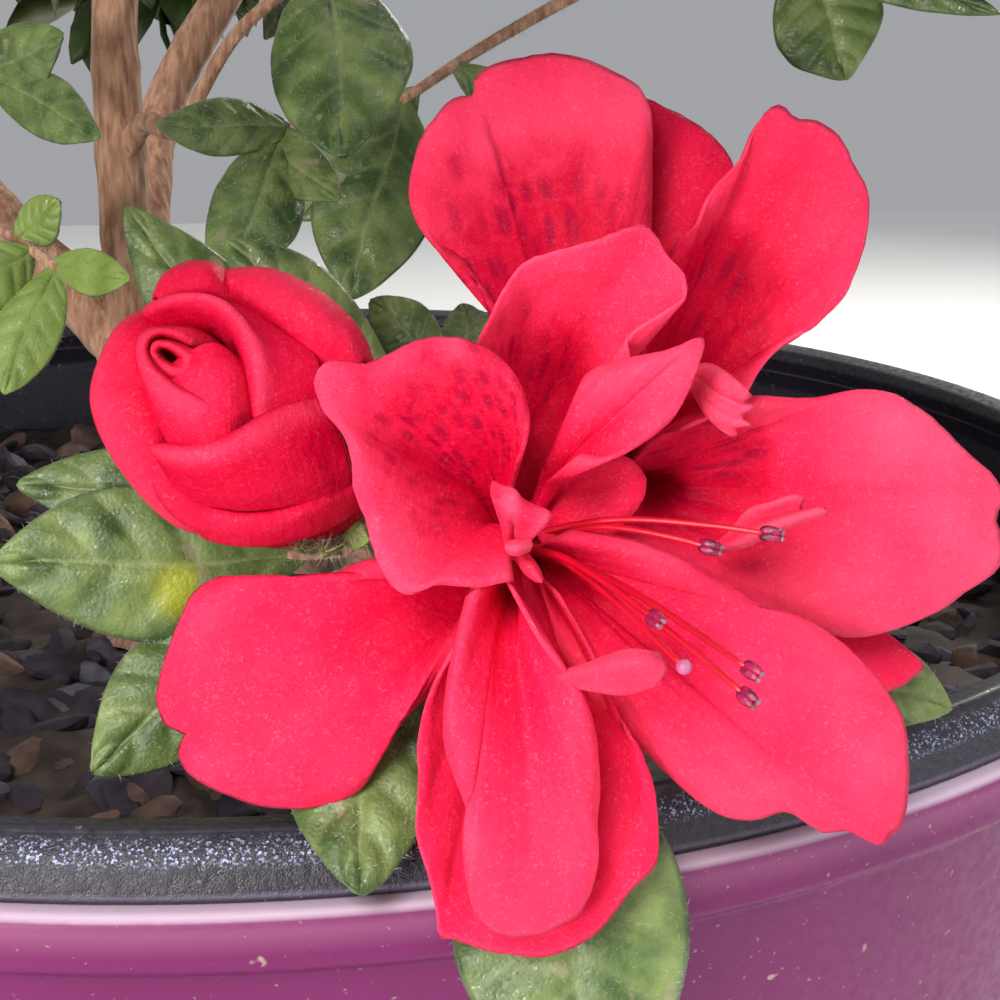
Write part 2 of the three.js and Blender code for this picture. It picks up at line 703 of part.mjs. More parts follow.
function massSolid(mass, masses, limbs) {
  const random = seededRandom(mass.seed);
  const own = limbs.find((limb) => limb.mass === mass);
  const heading = mass.bough.curve.getTangentAt(1);
  const start = mass.bough.curve.getPointAt(1).addScaledVector(heading, gap);
  const top = mass.centre.clone().lerp(crownMiddle, -0.16);
  const stemCurve = boughCurve([start, start.clone().addScaledVector(heading, 10), mass.centre, top]);
  const pieces = [limbSolid(stemCurve, (share) => sideBoughTip * (1 - 0.4 * share), 4, 5)];
  const taken = [];
  const outward = mass.centre.clone().sub(crownMiddle).normalize();
  for (let k = 0; k < twigsPerMass; k++) {
    const share = 0.25 + (0.72 * k) / (twigsPerMass - 1);
    const from = stemCurve.getPointAt(share);
    const around = stemCurve.getTangentAt(share);
    const side = around.clone().cross(straightUp).normalize();
    const over = side.clone().cross(around);
    const angle = k * goldenAngle + random() * 0.8;
    const out = side.multiplyScalar(Math.cos(angle)).addScaledVector(over, Math.sin(angle));
    out.addScaledVector(outward, 0.3 + 0.6 * random()).addScaledVector(around, 0.25).normalize();
    let length = massReach * (0.72 + 0.28 * random());
    const legal = (reach) => {
      const end = from.clone().addScaledVector(out, reach);
      const clear = clearOfLimbs(from.clone().addScaledVector(out, 8), end, limbs, own, 7);
      return allowed(end, mass, masses) && allowed(from.clone().lerp(end, 0.5), mass, masses) && clear;
    };
    while (length > 18 && !legal(length)) length -= 5;
    if (length <= 18) continue;
    const end = from.clone().addScaledVector(out, length);
    pieces.push(rodSolid(from.clone().addScaledVector(out, -0.4), end, twigRadius, twigRadius * 0.6, 3));
    const bearing = new THREE.Vector3(-out.y, out.x, 0.01).normalize();
    const lift = out.clone().cross(bearing);
    for (let n = 0; n < leavesPerTwig; n++) {
      const place = 1 - (n / leavesPerTwig) * 0.66;
      const root = from.clone().addScaledVector(out, length * place - 0.5);
      const turn = n * goldenAngle + k;
      const reach = bearing
        .clone()
        .multiplyScalar(Math.cos(turn))
        .addScaledVector(lift, Math.sin(turn))
        .addScaledVector(out, 0.7)
        .normalize();
      const tip = root.clone().addScaledVector(reach, leafLength * (0.85 + 0.3 * random()));
      const facing = straightUp.clone().addScaledVector(outward, 0.8).normalize();
      const across = reach.clone().cross(facing).normalize();
      const middle = root.clone().lerp(tip, 0.55);
      const edges = [1, -1].map((d) => middle.clone().addScaledVector(across, d * (leafWidth / 2 + 1)));
      if (![root, tip, ...edges].every((corner) => allowed(corner, mass, masses))) continue;
      if (taken.some((spot) => spot.distanceTo(middle) < leafSpacing)) continue;
      if (!clearOfLimbs(root, tip, limbs, own, leafWidth / 2 + 4)) continue;
      taken.push(middle);
      pieces.push(leafSolid(root, tip, leafWidth, leafThickness, facing, 1.6));
    }
  }
  if (massBlooms.includes(mass.name)) {
    const flat = outward.clone().setZ(outward.z * 0.5 + 0.25).normalize();
    const centre = mass.centre.clone().addScaledVector(flat, massReach * 0.52);
    pieces.push(rodSolid(mass.centre.clone(), centre.clone().addScaledVector(flat, -6), 1, 1, 4));
    pieces.push(...plainBloomPetals(centre, flat).filter((petal) => petalAllowed(petal, mass, masses)));
  }
  if (mass.name === hanging.mass) {
    const end = seen(...hanging.twig);
    pieces.push(rodSolid(stemCurve.getPointAt(0.3), end, 1, 0.8, 4));
    const line = new THREE.Line3(end.clone().lerp(stemCurve.getPointAt(0.3), 0.2), end);
    hanging.leaves.forEach((leaf) => pieces.push(...viewLeafPieces(leaf, line)));
  }
  return unionOf(pieces);
}

// The front shoot: its stem, twigs, leaves and flower stalks
function bloomBase(bloom) {
  const mix = (k) => bloom.throat[k] * 0.4 + shootTip[k] * 0.6;
  return seen(mix(0), mix(1), mix(2) + 2);
}

function frontShootSolid(curve) {
  const heading = curve.getTangentAt(1);
  const start = curve.getPointAt(1).addScaledVector(heading, gap);
  const heart = start.clone().addScaledVector(heading, 1.4);
  const pieces = [rodSolid(start, start.clone().addScaledVector(heading, 3), 2.2, 1.8, 6)];
  frontLeaves.forEach((leaf) => {
    const root = seen(...leaf.root);
    const inward = seen(...leaf.tip).sub(root).normalize();
    pieces.push(rodSolid(heart, root.clone().addScaledVector(inward, 2.5), 0.9, 0.6, 3));
    pieces.push(nearLeafSolid(leaf));
  });
  Object.values(openBlooms).forEach((bloom) => {
    const base = bloomBase(bloom);
    const back = base.clone().sub(seen(...bloom.throat)).normalize();
    pieces.push(rodSolid(heart, base.addScaledVector(back, gap), 1.1, 1.3, 5));
  });
  const budBase = seen(...bud.base);
  const budBack = budBase.clone().sub(seen(...bud.top)).normalize();
  pieces.push(rodSolid(heart, budBase.addScaledVector(budBack, gap), 1.1, 1.5, 5));
  return unionOf(pieces);
}

function openBloomSolid(bloom) {
  const throat = seen(...bloom.throat);
  const radiusAt = (share) => 1.5 + (bloom.mouthRadius - 1.5) * share ** 1.4;
  const heart = new THREE.IcosahedronGeometry(throatRadius, 0).translate(throat.x, throat.y, throat.z);
  const pieces = [limbSolid(new THREE.LineCurve3(bloomBase(bloom), throat), radiusAt, 2, 6), solidOf(heart)];
  Object.values(bloom.petals).forEach((petal) => {
    pieces.push(bladeSolid(petalRows(petal, bloom.throat), heroPetalThickness));
  });
  const spread = (k) => {
    const turn = k * goldenAngle;
    const [x, y, near] = bloom.throat;
    return seen(x + Math.cos(turn) * stamenSpread, y + Math.sin(turn) * stamenSpread, near - 0.4);
  };
  bloom.petaloids.forEach((petaloid, k) => {
    const root = seen(...petaloid.root);
    const tip = seen(...petaloid.tip);
    pieces.push(leafSolid(root, tip, petaloid.width, 0.7, forward.clone().negate(), 0.3));
    pieces.push(rodSolid(spread(k + 0.5), root.clone().lerp(tip, 0.2), 0.8, 0.5, 3));
  });
  bloom.stamens.forEach((tip, k) => {
    pieces.push(rodSolid(spread(k + 4), seen(...tip), stamenRadius, stamenRadius, 3));
  });
  return unionOf(pieces);
}

// The bud
function budFrame() {
  const base = seen(...bud.base);
  const axis = seen(...bud.top).sub(base);
  const side = axis.clone().cross(forward).normalize();
  const over = side.clone().cross(axis).normalize();
  return { base, axis, side, over };
}

function budRadius(share) {
  const round = Math.sin(Math.PI * Math.min(1, 0.06 + share * 0.72)) ** 0.7;
  return bud.radius * round * Math.min(1, 0.16 + share * 3);
}

function budPetalRows(petal) {
  const { base, axis, side, over } = budFrame();
  const rows = [];
  const across = 6;
  const along = 4;
  for (let i = 0; i <= along; i++) {
    const row = [];
    for (let j = 0; j <= across; j++) {
      const turn = j / across;
      const [first, middle, last] = petal.lip;
      const lip = first * (1 - turn) ** 2 + (4 * middle - first - last) * turn * (1 - turn) + last * turn ** 2;
      const share = 0.04 + (lip - 0.04) * (i / along);
      const angle = THREE.MathUtils.degToRad(petal.from + (petal.to - petal.from) * turn);
      const open = petal.lift + petal.roll * (i / along) ** 6;
      const radius = budRadius(Math.min(share, 0.86)) + open * Math.min(1, share * 4);
      row.push(
        base
          .clone()
          .addScaledVector(axis, share)
          .addScaledVector(side, Math.cos(angle) * radius)
          .addScaledVector(over, Math.sin(angle) * radius),
      );
    }
    rows.push(row);
  }
  return rows;
}

function budSolid() {
  const { base, axis } = budFrame();
  const curve = new THREE.LineCurve3(base, base.clone().add(axis));
  const inner = (share) => budRadius(share) * Math.sqrt(1 - (Math.max(0, share - 0.5) / 0.54) ** 2);
  const pieces = [limbSolid(curve, inner, bud.stations, bud.sides)];
  Object.values(bud.petals).forEach((petal) => {
    pieces.push(bladeSolid(budPetalRows(petal), heroPetalThickness));
  });
  return unionOf(pieces);
}

// The leafy shoots that the eye sees, and the leaves that hang from the crown
function viewLeafPieces(leaf, line) {
  const joint = line.closestPointToPoint(seen(...leaf.root), true, new THREE.Vector3());
  return [nearLeafSolid(leaf, joint.lerp(seen(...leaf.tip), -0.03))];
}

function viewShootSolid(shoot, curve) {
  const heading = curve.getTangentAt(1);
  const start = curve.getPointAt(1).addScaledVector(heading, gap);
  const pieces = [rodSolid(start, start.clone().addScaledVector(heading, 4), 1.4, 1.2, 5)];
  shoot.twigs.forEach((twig) => {
    let from = start.clone().addScaledVector(heading, 2);
    twig.through.forEach((spot) => {
      const to = seen(...spot);
      pieces.push(rodSolid(from, to, 0.9, 0.9, 4));
      from = to.clone().lerp(from, 0.04);
    });
    const line = new THREE.Line3(seen(...twig.through.at(-2)), seen(...twig.through.at(-1)));
    twig.leaves.forEach((leaf) => pieces.push(...viewLeafPieces(leaf, line)));
  });
  return unionOf(pieces);
}

addNode("pot_shell", shellSolid(), finish.potPurple);
addNode("pot_liner", linerSolid(), finish.potBlack);
addNode("potting_mix", mixSolid(), finish.mix);
addNode("trunk", trunkSolid(0), finish.bark);

const boughs = planBoughs();
const masses = planMasses(boughs);
const grown = [trunkSolid(gap)];
const limbs = [];
const addBough = (name, bough, mass) => {
  addNode(name, boughSolid(bough, 0).subtract(unionOf(grown)), finish.bark);
  grown.push(boughSolid(bough, gap));
  limbs.push({ mass, samples: bough.curve.getSpacedPoints(14) });
};
Object.entries(boughs).forEach(([name, bough]) => addBough(name, bough, null));
masses.forEach((mass) => addBough(`bough_${mass.name}`, mass.bough, mass));

masses.forEach((mass) => {
  addNode(`foliage_${mass.name}`, massSolid(mass, masses, limbs), finish.leaf);
});
Object.entries(viewShoots).forEach(([name, shoot]) => {
  addNode(`foliage_${name}`, viewShootSolid(shoot, boughs[`bough_${name}`].curve), finish.leaf);
});
addNode("foliage_front_shoot", frontShootSolid(boughs.bough_front.curve), finish.leaf);
Object.entries(openBlooms).forEach(([name, bloom]) => addNode(name, openBloomSolid(bloom), finish.petal));
addNode("rose_bud", budSolid(), finish.petal);

export default plant;
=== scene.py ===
# Potted azalea shrub: petals, leaves, bark, potting mix and pot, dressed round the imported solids.
# Lengths are in millimetres until a mesh is made, which is in metres, +Z up.
import math
import bpy
import numpy as np
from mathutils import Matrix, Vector, noise


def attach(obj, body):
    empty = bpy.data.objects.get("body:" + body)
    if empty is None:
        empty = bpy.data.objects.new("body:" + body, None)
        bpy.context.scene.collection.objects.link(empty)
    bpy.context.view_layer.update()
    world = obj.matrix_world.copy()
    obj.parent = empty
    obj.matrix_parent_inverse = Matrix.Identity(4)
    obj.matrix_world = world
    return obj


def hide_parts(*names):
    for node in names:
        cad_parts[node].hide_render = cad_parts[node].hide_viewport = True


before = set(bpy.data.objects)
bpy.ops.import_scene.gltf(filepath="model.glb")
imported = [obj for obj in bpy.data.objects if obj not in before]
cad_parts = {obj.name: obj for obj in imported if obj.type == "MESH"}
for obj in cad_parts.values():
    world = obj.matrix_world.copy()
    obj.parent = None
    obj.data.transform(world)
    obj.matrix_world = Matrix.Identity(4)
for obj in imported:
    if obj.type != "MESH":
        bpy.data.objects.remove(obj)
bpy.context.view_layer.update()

mm = 0.001
fullTurn = 2 * math.pi
goldenAngle = math.pi * (3 - math.sqrt(5))
straightUp = np.array([0.0, 0.0, 1.0])

# The viewpoint. A place in its view is x to the right, y up and near towards the eye, in millimetres
# as the eye sees them at arm's reach.
view = {"at": [0, -322, 330.6], "yaw": 6.56, "pitch": 16.06, "reach": 200}

viewYaw = math.radians(view["yaw"])
viewPitch = math.radians(view["pitch"])
eyeAt = np.array(view["at"], float)
forward = np.array([
    math.sin(viewYaw) * math.cos(viewPitch),
    math.cos(viewYaw) * math.cos(viewPitch),
    -math.sin(viewPitch),
])


def unit(v):
    return v / np.linalg.norm(v, axis=-1, keepdims=True)


rightward = unit(np.cross(forward, straightUp))
upward = np.cross(rightward, forward)


def seen(place):
    place = np.asarray(place, float)
    ray = place[..., 0:1] * rightward + place[..., 1:2] * upward + view["reach"] * forward
    return eyeAt + ray * ((view["reach"] - place[..., 2:3]) / view["reach"])


def asSeen(point):
    ray = point - eyeAt
    depth = ray @ forward
    scale = view["reach"] / depth
    return (ray @ rightward) * scale, (ray @ upward) * scale, view["reach"] - depth


def lerp(a, b, share):
    return a + (b - a) * share


# Points from start to end in a straight line
def straight(start, end, count):
    return [lerp(start, end, share) for share in np.linspace(0, 1, count)]


def smooth(low, high, value):
    share = np.clip((value - low) / (high - low), 0, 1)
    return share * share * (3 - 2 * share)


def seededRandom(seed):
    state = [seed]

    def draw():
        state[0] = (state[0] * 1664525 + 1013904223) % 4294967296
        return state[0] / 4294967296

    return draw


# A smooth curve through its points, even along its length
class Curve:
    divisions = 200
    tiny = 1e-4

    def __init__(self, points):
        self.points = [np.asarray(p, float) for p in points]
        at = [self.at(i / self.divisions) for i in range(self.divisions + 1)]
        steps = np.linalg.norm(np.diff(at, axis=0), axis=1)
        self.lengths = np.concatenate([[0], np.cumsum(steps)])

    def at(self, t):
        p = self.points
        last = len(p) - 1
        place = last * t
        i = min(int(place), last - 1)
        w = place - i
        before = p[i - 1] if i > 0 else 2 * p[0] - p[1]
        after = p[i + 2] if i + 2 <= last else 2 * p[last] - p[last - 1]
        x0, x1, x2, x3 = before, p[i], p[i + 1], after
        spans = [((b - a) @ (b - a)) ** 0.25 for a, b in ((x0, x1), (x1, x2), (x2, x3))]
        d0, d1, d2 = [s if s > self.tiny else spans[1] for s in spans]
        t1 = ((x1 - x0) / d0 - (x2 - x0) / (d0 + d1) + (x2 - x1) / d1) * d1
        t2 = ((x2 - x1) / d1 - (x3 - x1) / (d1 + d2) + (x3 - x2) / d2) * d1
        return x1 + t1 * w + (3 * (x2 - x1) - 2 * t1 - t2) * w ** 2 + (2 * (x1 - x2) + t1 + t2) * w ** 3

    def inner(self, share):
        return np.interp(share * self.lengths[-1], self.lengths, np.linspace(0, 1, self.divisions + 1))

    def pointAt(self, share):
        return self.at(self.inner(share))

    def tangentAt(self, share):
        t = self.inner(share)
        return unit(self.at(min(1, t + self.tiny)) - self.at(max(0, t - self.tiny)))

    def spaced(self, count):
        return np.array([self.pointAt(i / count) for i in range(count + 1)])


# Collects grids and faces for one mesh, with a flat place and named values for each vertex
class Heap:
    def __init__(self, *valueNames):
        self.points, self.flats, self.faces, self.slots = [], [], [], []
        self.values = {name: [] for name in valueNames}
        self.count = 0

    def add(self, points, faces, flat=None, slot=0, **values):
        points = np.asarray(points, float)
        total = len(points)
        self.points.append(points)
        self.flats.append(np.zeros((total, 2)) if flat is None else flat)
        self.faces.extend((np.asarray(face) + self.count).tolist() for face in faces)
        self.slots.extend([slot] * len(faces))
        for name, kept in self.values.items():
            kept.append(np.broadcast_to(np.asarray(values.get(name, 0.0), float), (total,)))
        self.count += total

    def mesh(self, name, materials):
        made = bpy.data.meshes.new(name)
        made.from_pydata((np.concatenate(self.points) * mm).tolist(), [], self.faces)
        corners = np.zeros(len(made.loops), np.int32)
        made.loops.foreach_get("vertex_index", corners)
        layer = made.uv_layers.new(name="flat")
        layer.uv.foreach_set("vector", np.concatenate(self.flats)[corners].astype(np.float32).ravel())
        for valueName, kept in self.values.items():
            attribute = made.attributes.new(valueName, "FLOAT", "POINT")
            attribute.data.foreach_set("value", np.concatenate(kept).astype(np.float32))
        for material in materials:
            made.materials.append(material)
        made.polygons.foreach_set("material_index", self.slots)
        made.polygons.foreach_set("use_smooth", [True] * len(made.polygons))
        made.update()
        return made

    def piece(self, name, materials, slotName, replaced=()):
        return dress(bpy.data.objects.new(name, self.mesh(name, materials)), slotName, replaced)


def dress(piece, slotName, replaced=()):
    if piece.name not in bpy.context.scene.collection.objects:
        bpy.context.scene.collection.objects.link(piece)
    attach(piece, "root")
    if replaced:
        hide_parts(*replaced)
    return piece


def gridFaces(rows, columns, around=False, start=0):
    index = np.arange(rows * columns).reshape(rows, columns) + start
    if around:
        index = np.concatenate([index, index[:, :1]], axis=1)
    corners = [index[:-1, :-1], index[:-1, 1:], index[1:, 1:], index[1:, :-1]]
    return np.stack([c.ravel() for c in corners], axis=1)


# A thin blade from a grid of points: full thickness inside, closed round its edge
def blade(heap, grid, thickness, flat=None, slot=0, **values):
    rows, columns = grid.shape[:2]
    normal = unit(np.cross(np.gradient(grid, axis=1), np.gradient(grid, axis=0)))
    inside = np.zeros((rows, columns), bool)
    inside[1:-1, 1:-1] = True
    half = np.where(inside, thickness / 2, 0)[..., None] * normal
    top = (grid + half).reshape(-1, 3)
    low = (grid - half).reshape(-1, 3)[inside.ravel()]
    upper = gridFaces(rows, columns)
    lowIndex = np.arange(rows * columns)
    lowIndex[inside.ravel()] = rows * columns + np.arange(inside.sum())
    faces = np.concatenate([upper, lowIndex[upper][:, ::-1]])
    if flat is None:
        across, along = np.meshgrid(np.linspace(0, 1, columns), np.linspace(0, 1, rows))
        flat = np.stack([across, along], axis=-1)
    picked = inside.ravel()
    flat = np.concatenate([flat.reshape(-1, 2), flat.reshape(-1, 2)[picked]])
    spread = {}
    for name, value in values.items():
        value = np.broadcast_to(np.asarray(value, float), (rows, columns)).ravel()
        spread[name] = np.concatenate([value, value[picked]])
    heap.add(np.concatenate([top, low]), faces, flat, slot, **spread)


# A round limb along a line of points, with a radius for each step and each side, and flat ends
def limb(heap, points, radii, sides, slot=0, **values):
    points = np.asarray(points, float)
    tangents = unit(np.gradient(points, axis=0))
    across = unit(np.cross(tangents[0], [0.31, 0.52, 0.79]))
    angles = np.arange(sides) / sides * fullTurn
    rows = []
    for i, tangent in enumerate(tangents):
        across = unit(across - tangent * (across @ tangent))
        other = np.cross(tangent, across)
        ring = np.cos(angles)[:, None] * across + np.sin(angles)[:, None] * other
        radius = np.broadcast_to(radii[i], (sides,))[:, None]
        rows.append(points[i] + ring * radius)
    grid = np.array(rows)
    count = len(points)
    faces = gridFaces(count, sides, True).tolist()
    faces.append(list(range(sides))[::-1])
    faces.append([(count - 1) * sides + j for j in range(sides)])
    along = np.concatenate([[0], np.cumsum(np.linalg.norm(np.diff(points, axis=0), axis=1))])
    flat = np.stack(np.meshgrid(np.arange(sides) / sides, along / 10), axis=-1).reshape(-1, 2)
    heap.add(grid.reshape(-1, 3), faces, flat, slot, **values)


# A round limb that narrows or widens evenly between two radii
def tapered(heap, points, radii, sides, slot=0):
    limb(heap, points, np.linspace(*radii, len(points)), sides, slot)


# Node helpers
def addNode(tree, kind, inputs=None, **settings):
    node = tree.nodes.new(kind)
    for key, value in settings.items():
        setattr(node, key, value)
    for key, value in (inputs or {}).items():
        if isinstance(value, bpy.types.NodeSocket):
            tree.links.new(value, node.inputs[key])
        else:
            node.inputs[key].default_value = value
    return node


# A new node group. An input is given by its number, or by its kind of socket where it has none.
def newGroup(name, kind, inputs, outputs):
    tree = bpy.data.node_groups.new(name, kind)
    for socketName, value in inputs.items():
        socketType = {float: "NodeSocketFloat", int: "NodeSocketInt"}.get(type(value), value)
        socket = tree.interface.new_socket(socketName, in_out="INPUT", socket_type=socketType)
        if socketType != value:
            socket.default_value = value
    for socketName, socketType in outputs.items():
        tree.interface.new_socket(socketName, in_out="OUTPUT", socket_type=socketType)
    source = tree.nodes.new("NodeGroupInput").outputs
    sink = tree.nodes.new("NodeGroupOutput").inputs
    return tree, source, sink


def growTree(name, inputs):
    sockets = {"Geometry": "NodeSocketGeometry", **inputs, "Material": "NodeSocketMaterial"}
    return newGroup(name, "GeometryNodeTree", sockets, {"Geometry": "NodeSocketGeometry"})


def scattered(tree, source):
    return addNode(tree, "GeometryNodeDistributePointsOnFaces", {
        "Mesh": source["Geometry"], "Density": source["Density"], "Seed": source["Seed"],
    }).outputs


def placed(tree, points, instance, rotation, scale):
    instances = addNode(tree, "GeometryNodeInstanceOnPoints", {
        "Points": points, "Instance": instance, "Rotation": rotation, "Scale": scale,
    })
    return addNode(tree, "GeometryNodeRealizeInstances", {0: instances.outputs[0]}).outputs[0]


# Ends a tree with its geometry in the given material
def coloured(tree, source, sink, geometry):
    done = addNode(tree, "GeometryNodeSetMaterial", {"Geometry": geometry, "Material": source["Material"]})
    tree.links.new(done.outputs[0], sink["Geometry"])
    return tree


def randomNumber(tree, low, high, seed):
    node = addNode(tree, "FunctionNodeRandomValue", {2: low, 3: high, "Seed": seed}, data_type="FLOAT")
    return node.outputs[1]


def randomVector(tree, low, high, seed=0):
    node = addNode(tree, "FunctionNodeRandomValue", {0: low, 1: high, "Seed": seed}, data_type="FLOAT_VECTOR")
    return node.outputs[0]


def vectorMaths(tree, inputs, operation):
    return addNode(tree, "ShaderNodeVectorMath", inputs, operation=operation).outputs


# Runs a node tree on a piece and returns its result as a plain mesh
def grown(name, mesh, tree, settings):
    carrier = bpy.data.objects.new(name, mesh)
    bpy.context.scene.collection.objects.link(carrier)
    modifier = carrier.modifiers.new("grow", "NODES")
    modifier.node_group = tree
    sockets = {item.name: item.identifier for item in tree.interface.items_tree if item.in_out == "INPUT"}
    for key, value in settings.items():
        modifier[sockets[key]] = value
    evaluated = carrier.evaluated_get(bpy.context.evaluated_depsgraph_get())
    made = bpy.data.meshes.new_from_object(evaluated)
    carrier.modifiers.remove(modifier)
    bpy.data.objects.remove(carrier)
    made.name = name
    return made


# Shared finishes
finish = {
    "coral": (0.84, 0.012, 0.07, 1), "coralPale": (0.91, 0.098, 0.195, 1),
    "crimson": (0.55, 0.0004, 0.028, 1), "crimsonDark": (0.36, 0.0003, 0.03, 1),
    "paintedSparkle": (1.0, 0.24, 0.36, 1),
    "leafDeep": (0.038, 0.08, 0.016, 1), "leafLight": (0.20, 0.27, 0.08, 1),
    "leafRib": (0.31, 0.37, 0.15, 1), "paintedSunOnLeaf": (0.30, 0.33, 0.02, 1), "leafFleck": (0.30, 0.27, 0.16, 1),
    "barkDark": (0.34, 0.16, 0.095, 1), "barkLight": (0.64, 0.37, 0.24, 1),
    "barkFlake": (0.52, 0.30, 0.19, 1),
    "potPurple": (0.22, 0.014, 0.13, 1), "potShade": (0.13, 0.009, 0.075, 1),
    "potHaze": (0.42, 0.16, 0.28, 1),
    "potLedgeHighlightAndWear": (0.62, 0.47, 0.60, 1), "dust": (0.46, 0.38, 0.33, 1), "grit": (0.6, 0.45, 0.36, 1),
    "potBlack": (0.014, 0.012, 0.018, 1), "blackWorn": (0.034, 0.03, 0.045, 1),
    "paintedFootHighlight": (0.17, 0.14, 0.21, 1), "paintedGlint": (0.50, 0.55, 0.85, 1), "blackDust": (0.32, 0.27, 0.26, 1),
}





# A new material's tree, and the function that joins outputs to its shader and hands the material back.
# Fixed numbers are set on the shader's own sockets.
def newMaterial(name, **fixed):
    material = bpy.data.materials.new(name)
    material.use_nodes = True
    tree = material.node_tree
    shader = tree.nodes["Principled BSDF"]
    for key, value in fixed.items():
        shader.inputs[key.replace("_", " ")].default_value = value

    def joined(**outputs):
        for key, value in outputs.items():
            tree.links.new(value, shader.inputs[key.replace("_", " ")])
        return material

    return tree, joined


def objectPlace(tree):
    return tree.nodes.new("ShaderNodeTexCoord").outputs["Object"]


def useGroup(tree, group, **inputs):
    return addNode(tree, "ShaderNodeGroup", inputs, node_tree=group).outputs


def mixed(tree, share, first, second):
    node = tree.nodes.new("ShaderNodeMix")
    node.data_type = "RGBA"
    for socket, value in ((node.inputs[0], share), (node.inputs[6], first), (node.inputs[7], second)):
        if isinstance(value, bpy.types.NodeSocket):
            tree.links.new(value, socket)
        else:
            socket.default_value = value
    return node.outputs[2]


def maths(tree, first, second, operation, clamp=False):
    node = addNode(tree, "ShaderNodeMath", {0: first, 1: second}, operation=operation, use_clamp=clamp)
    return node.outputs[0]


def plus(tree, first, second, clamp=False):
    return maths(tree, first, second, "ADD", clamp)


def times(tree, first, second, clamp=False):
    return maths(tree, first, second, "MULTIPLY", clamp)


def clouds(tree, place, scale, detail=3.0):
    node = addNode(tree, "ShaderNodeTexNoise", {"Vector": place, "Scale": scale, "Detail": detail})
    return node.outputs["Fac"]


def sumVector(tree, first, second):
    return vectorMaths(tree, {0: first, 1: second}, "ADD")[0]


# Spreads a value from one range to another and stops at its ends
def ranged(tree, value, low, high, toLow=0.0, toHigh=1.0):
    return addNode(tree, "ShaderNodeMapRange", {
        "Value": value, "From Min": low, "From Max": high, "To Min": toLow, "To Max": toHigh,
    }).outputs["Result"]


def attribute(tree, name):
    return addNode(tree, "ShaderNodeAttribute", attribute_name=name).outputs["Fac"]


def stretched(tree, flatOrPlace, scale):
    return addNode(tree, "ShaderNodeMapping", {"Vector": flatOrPlace, "Scale": scale}).outputs["Vector"]


def bumped(tree, height, strength, distance, normal=None):
    inputs = {"Height": height, "Strength": strength, "Distance": distance}
    if normal is not None:
        inputs["Normal"] = normal
    return addNode(tree, "ShaderNodeBump", inputs).outputs["Normal"]


def flatMap(tree):
    return addNode(tree, "ShaderNodeUVMap", uv_map="flat").outputs["UV"]


# Scattered specks: the peaks of a noise, and more of it the greater the cover
def speckleGroup():
    inputs = {"Vector": "NodeSocketVector", "Scale": 400.0, "Cover": 0.3, "Softness": 0.05}
    tree, source, sink = newGroup("speckle", "ShaderNodeTree", inputs, {"Mask": "NodeSocketFloat"})
    peak = 0.72
    grain = clouds(tree, source["Vector"], source["Scale"], 2.0)
    low = maths(tree, peak, source["Cover"], "SUBTRACT")
    high = plus(tree, low, source["Softness"])
    tree.links.new(ranged(tree, grain, low, high), sink["Mask"])
    return tree


# The fine cells of a petal, a leaf or rough plastic: their relief, and the few that glint
def grainGroup():
    inputs = {"Vector": "NodeSocketVector", "Scale": 3000.0}
    outputs = {"Height": "NodeSocketFloat", "Glint": "NodeSocketFloat"}
    tree, source, sink = newGroup("cell grain", "ShaderNodeTree", inputs, outputs)
    place = {"Vector": source["Vector"], "Scale": source["Scale"]}
    cells = addNode(tree, "ShaderNodeTexVoronoi", place).outputs
    drawn = addNode(tree, "ShaderNodeSeparateColor", {0: cells["Color"]}).outputs[0]
    tree.links.new(cells["Distance"], sink["Height"])
    tree.links.new(ranged(tree, drawn, 0.74, 0.98), sink["Glint"])
    return tree


speckle = speckleGroup()

cellGrain = grainGroup()


petalLook = {
    "veins": (30, 2.2, 1), "spots": (25, 8, 1), "grain": 5200.0, "clouds": 140.0, "patches": 900.0,
}


